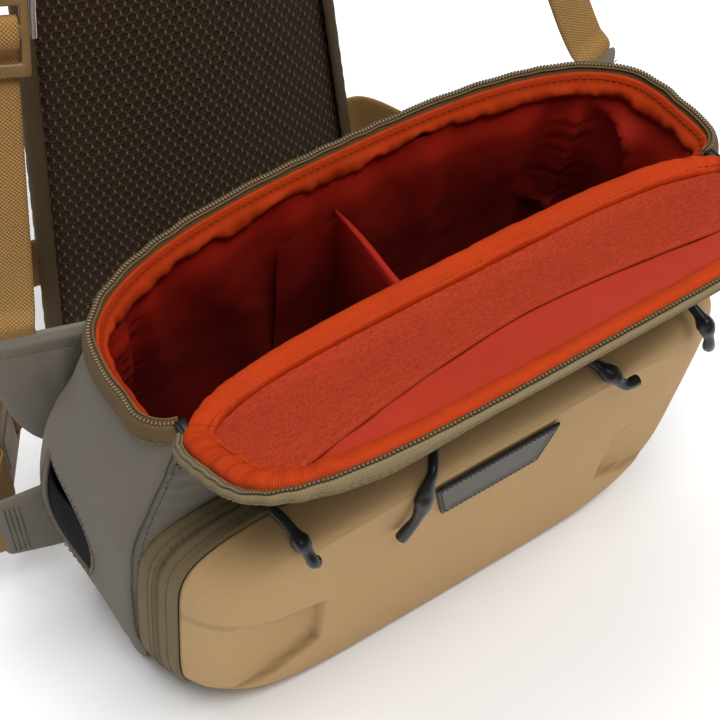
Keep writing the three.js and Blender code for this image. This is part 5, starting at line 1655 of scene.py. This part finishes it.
def build_side_straps():
    end = TAB_END + (0, 0, TAB_Z)
    behind = PANEL_THICK + PANEL_EDGE + 2 + WEB_THICK / 2
    front = [end - TAB_OUT * 22, end, (-204.5, 79, TAB_Z), (-208, 83, TAB_Z), (-206, 88, TAB_Z), (-199.5, 89.6, TAB_Z)]
    back = [panel_point(x, TAB_Z, depth)
            for x, depth in ((-84, behind), (-104, behind), (-116, behind - 2), (-128, 8))]
    for route, count, name, node in (([*front, *bar_turn(-1)], 130, "side_webbing", "side_strap"),
                                     ([*back, *bar_turn(1)], 150, "back_webbing", "back_strap")):
        strap = Piece().tube(ribbon(flowing(route, count), (0, 0, 1), SIDE_WEB_WIDTH, WEB_THICK))
        both_sides(strap, name, "strap_webbing", "webbing", node)
    tacks = Threads()
    for s in (-88, -92, -96):
        line = [panel_point(s, h, behind + 1.0) for h in np.linspace(TAB_Z - 17, TAB_Z + 17, 20)]
        tacks.row(line, (0, 1, 0), pitch=2.2)
    both_sides(tacks.rows, "back_webbing_tacks", "tan_thread", "webbing")
    for side, name in SIDES:
        matrix = placing(BUCKLE_RUN, (0, 0, 1), BUCKLE_FACE, BUCKLE, side > 0)
        slotted(f"buckle_body_{name}", (-26, -22, -15, -6, 6, 15, 22, 26), (-25, -20, -10, 10, 20, 25),
                ((-22, -15, -20, 20), (15, 22, -20, 20)), 8, 2.2, matrix, f"side_buckle_{name}")
        slotted(f"buckle_tongue_{name}", (-12, -9, 9, 12), (-13, -9, 9, 13), (), 9.2, 1.2, matrix)


# Stage

# Columns: name, place, target, width and depth, power
LAMPS = (
    ("soft_key", (-0.1, 0.4, 2.3), (0, 0.05, 0.1), (1.8, 1.4), 36),
    ("soft_front", (0.15, -0.85, 2.25), (0, -0.2, 0.1), (1.6, 0.6), 42),
)
CAMERA_PLACE = (-283.8, -384.6, 759.6)
CAMERA_LOOK = (0.3436, 0.5191, -0.7826)


def aim(obj, place, direction):
    """Sets a lamp or camera at a place, looking along a direction."""
    bpy.context.scene.collection.objects.link(obj)
    obj.location = place
    obj.rotation_mode = "QUATERNION"
    obj.rotation_quaternion = Vector(direction).to_track_quat("-Z", "Y")


def build_stage():
    scene = bpy.context.scene
    floor = primitive(bpy.ops.mesh.primitive_plane_add, "floor", size=8, location=(0, 0, -0.0004))
    paint = Paint("pale_floor", Roughness=0.9, Specular_IOR_Level=0.1)
    floor.data.materials.append(paint.finish((0.95, 0.95, 0.95, 1.0)))
    world = bpy.data.worlds.new("studio")
    world.use_nodes = True
    world.node_tree.nodes["Background"].inputs[0].default_value = (1.0, 1.0, 1.0, 1.0)
    world.node_tree.nodes["Background"].inputs[1].default_value = 0.2
    scene.world = world
    for name, place, target, (wide, deep), power in LAMPS:
        light = bpy.data.lights.new(name, "AREA")
        light.shape = "RECTANGLE"
        light.size, light.size_y = wide, deep
        light.energy = power
        aim(bpy.data.objects.new(name, light), place, Vector(target) - Vector(place))
    camera = bpy.data.objects.new("camera", bpy.data.cameras.new("camera"))
    camera.data.sensor_width = 36
    camera.data.lens = 80
    camera.data.clip_start, camera.data.clip_end = 0.01, 50
    aim(camera, metres(CAMERA_PLACE), CAMERA_LOOK)
    scene.camera = camera
    scene.view_settings.view_transform = "Standard"


# Operators


class PACK_OT_stage(bpy.types.Operator):
    """Sets up the floor, lights and camera"""
    bl_idname = "pack.stage"
    bl_label = "Stage"

    def execute(self, context):
        build_stage()
        return {"FINISHED"}


class PACK_OT_tub(bpy.types.Operator):
    """Makes the cloth tub with its tool slots"""
    bl_idname = "pack.tub"
    bl_label = "Tub"

    def execute(self, context):
        build_tub()
        return {"FINISHED"}


class PACK_OT_lining(bpy.types.Operator):
    """Makes the folded lining and the divider"""
    bl_idname = "pack.lining"
    bl_label = "Lining"

    def execute(self, context):
        build_lining()
        build_divider()
        return {"FINISHED"}


class PACK_OT_rim(bpy.types.Operator):
    """Makes the zip and binding round the rim"""
    bl_idname = "pack.rim"
    bl_label = "Rim"

    def execute(self, context):
        build_rim()
        return {"FINISHED"}


class PACK_OT_lid(bpy.types.Operator):
    """Makes the open lid with its loop panel, binding, zip and hinge"""
    bl_idname = "pack.lid"
    bl_label = "Lid"

    def execute(self, context):
        build_lid()
        build_lid_roll()
        build_lid_zip()
        build_lid_hinge()
        return {"FINISHED"}


class PACK_OT_pocket(bpy.types.Operator):
    """Makes the moulded front pocket, its zip band and the patch"""
    bl_idname = "pack.pocket"
    bl_label = "Front pocket"

    def execute(self, context):
        build_pocket_face()
        build_pocket_band()
        build_patch()
        return {"FINISHED"}


class PACK_OT_pulls(bpy.types.Operator):
    """Makes the zip sliders and knotted pulls"""
    bl_idname = "pack.pulls"
    bl_label = "Zip pulls"

    def execute(self, context):
        build_pulls()
        return {"FINISHED"}


class PACK_OT_wings(bpy.types.Operator):
    """Makes the wings and tabs that carry the straps"""
    bl_idname = "pack.wings"
    bl_label = "Wings"

    def execute(self, context):
        build_wings()
        build_tabs()
        return {"FINISHED"}


class PACK_OT_webbing(bpy.types.Operator):
    """Makes the shoulder webbing, the strap locks and their wires"""
    bl_idname = "pack.webbing"
    bl_label = "Shoulder webbing"

    def execute(self, context):
        build_shoulder_webbing()
        build_locks()
        return {"FINISHED"}


class PACK_OT_straps(bpy.types.Operator):
    """Makes the padded shoulder straps"""
    bl_idname = "pack.straps"
    bl_label = "Shoulder straps"

    def execute(self, context):
        build_shoulder_straps()
        return {"FINISHED"}


class PACK_OT_panel(bpy.types.Operator):
    """Makes the padded mesh back panel and its edge"""
    bl_idname = "pack.panel"
    bl_label = "Back panel"

    def execute(self, context):
        build_back_panel()
        build_panel_edge()
        return {"FINISHED"}


class PACK_OT_sides(bpy.types.Operator):
    """Makes the side webbing and buckles"""
    bl_idname = "pack.sides"
    bl_label = "Side straps"

    def execute(self, context):
        build_side_straps()
        return {"FINISHED"}


OPERATORS = (PACK_OT_stage, PACK_OT_tub, PACK_OT_lining, PACK_OT_rim, PACK_OT_lid, PACK_OT_pocket, PACK_OT_pulls,
             PACK_OT_wings, PACK_OT_webbing, PACK_OT_straps, PACK_OT_panel, PACK_OT_sides)


class PACK_PT_sidebar(bpy.types.Panel):
    """Lists the pack's pieces and the sizes and colours that shape them"""
    bl_idname = "PACK_PT_sidebar"
    bl_label = "Chest pack"
    bl_space_type = "VIEW_3D"
    bl_region_type = "UI"
    bl_category = "Chest pack"

    def draw(self, context):
        for kind in OPERATORS:
            self.layout.operator(kind.bl_idname)
        for group in (context.scene.pack_colours, context.scene.pack_sizes):
            for key in group.bl_rna.properties.keys():
                if key not in ("rna_type", "name"):
                    self.layout.prop(group, key)


CLASSES = (PackColours, PackSizes, *OPERATORS, PACK_PT_sidebar)


def register():
    for kind in CLASSES:
        bpy.utils.register_class(kind)
    bpy.types.Scene.pack_colours = bpy.props.PointerProperty(type=PackColours)
    bpy.types.Scene.pack_sizes = bpy.props.PointerProperty(type=PackSizes)


def unregister():
    del bpy.types.Scene.pack_colours
    del bpy.types.Scene.pack_sizes
    for kind in reversed(CLASSES):
        bpy.utils.unregister_class(kind)


def main():
    register()
    bpy.ops.pack.stage()
    bpy.ops.pack.tub()
    bpy.ops.pack.lining()
    bpy.ops.pack.rim()
    bpy.ops.pack.lid()
    bpy.ops.pack.pocket()
    bpy.ops.pack.pulls()
    bpy.ops.pack.wings()
    bpy.ops.pack.webbing()
    bpy.ops.pack.straps()
    bpy.ops.pack.panel()
    bpy.ops.pack.sides()


if __name__ == "__main__":
    main()
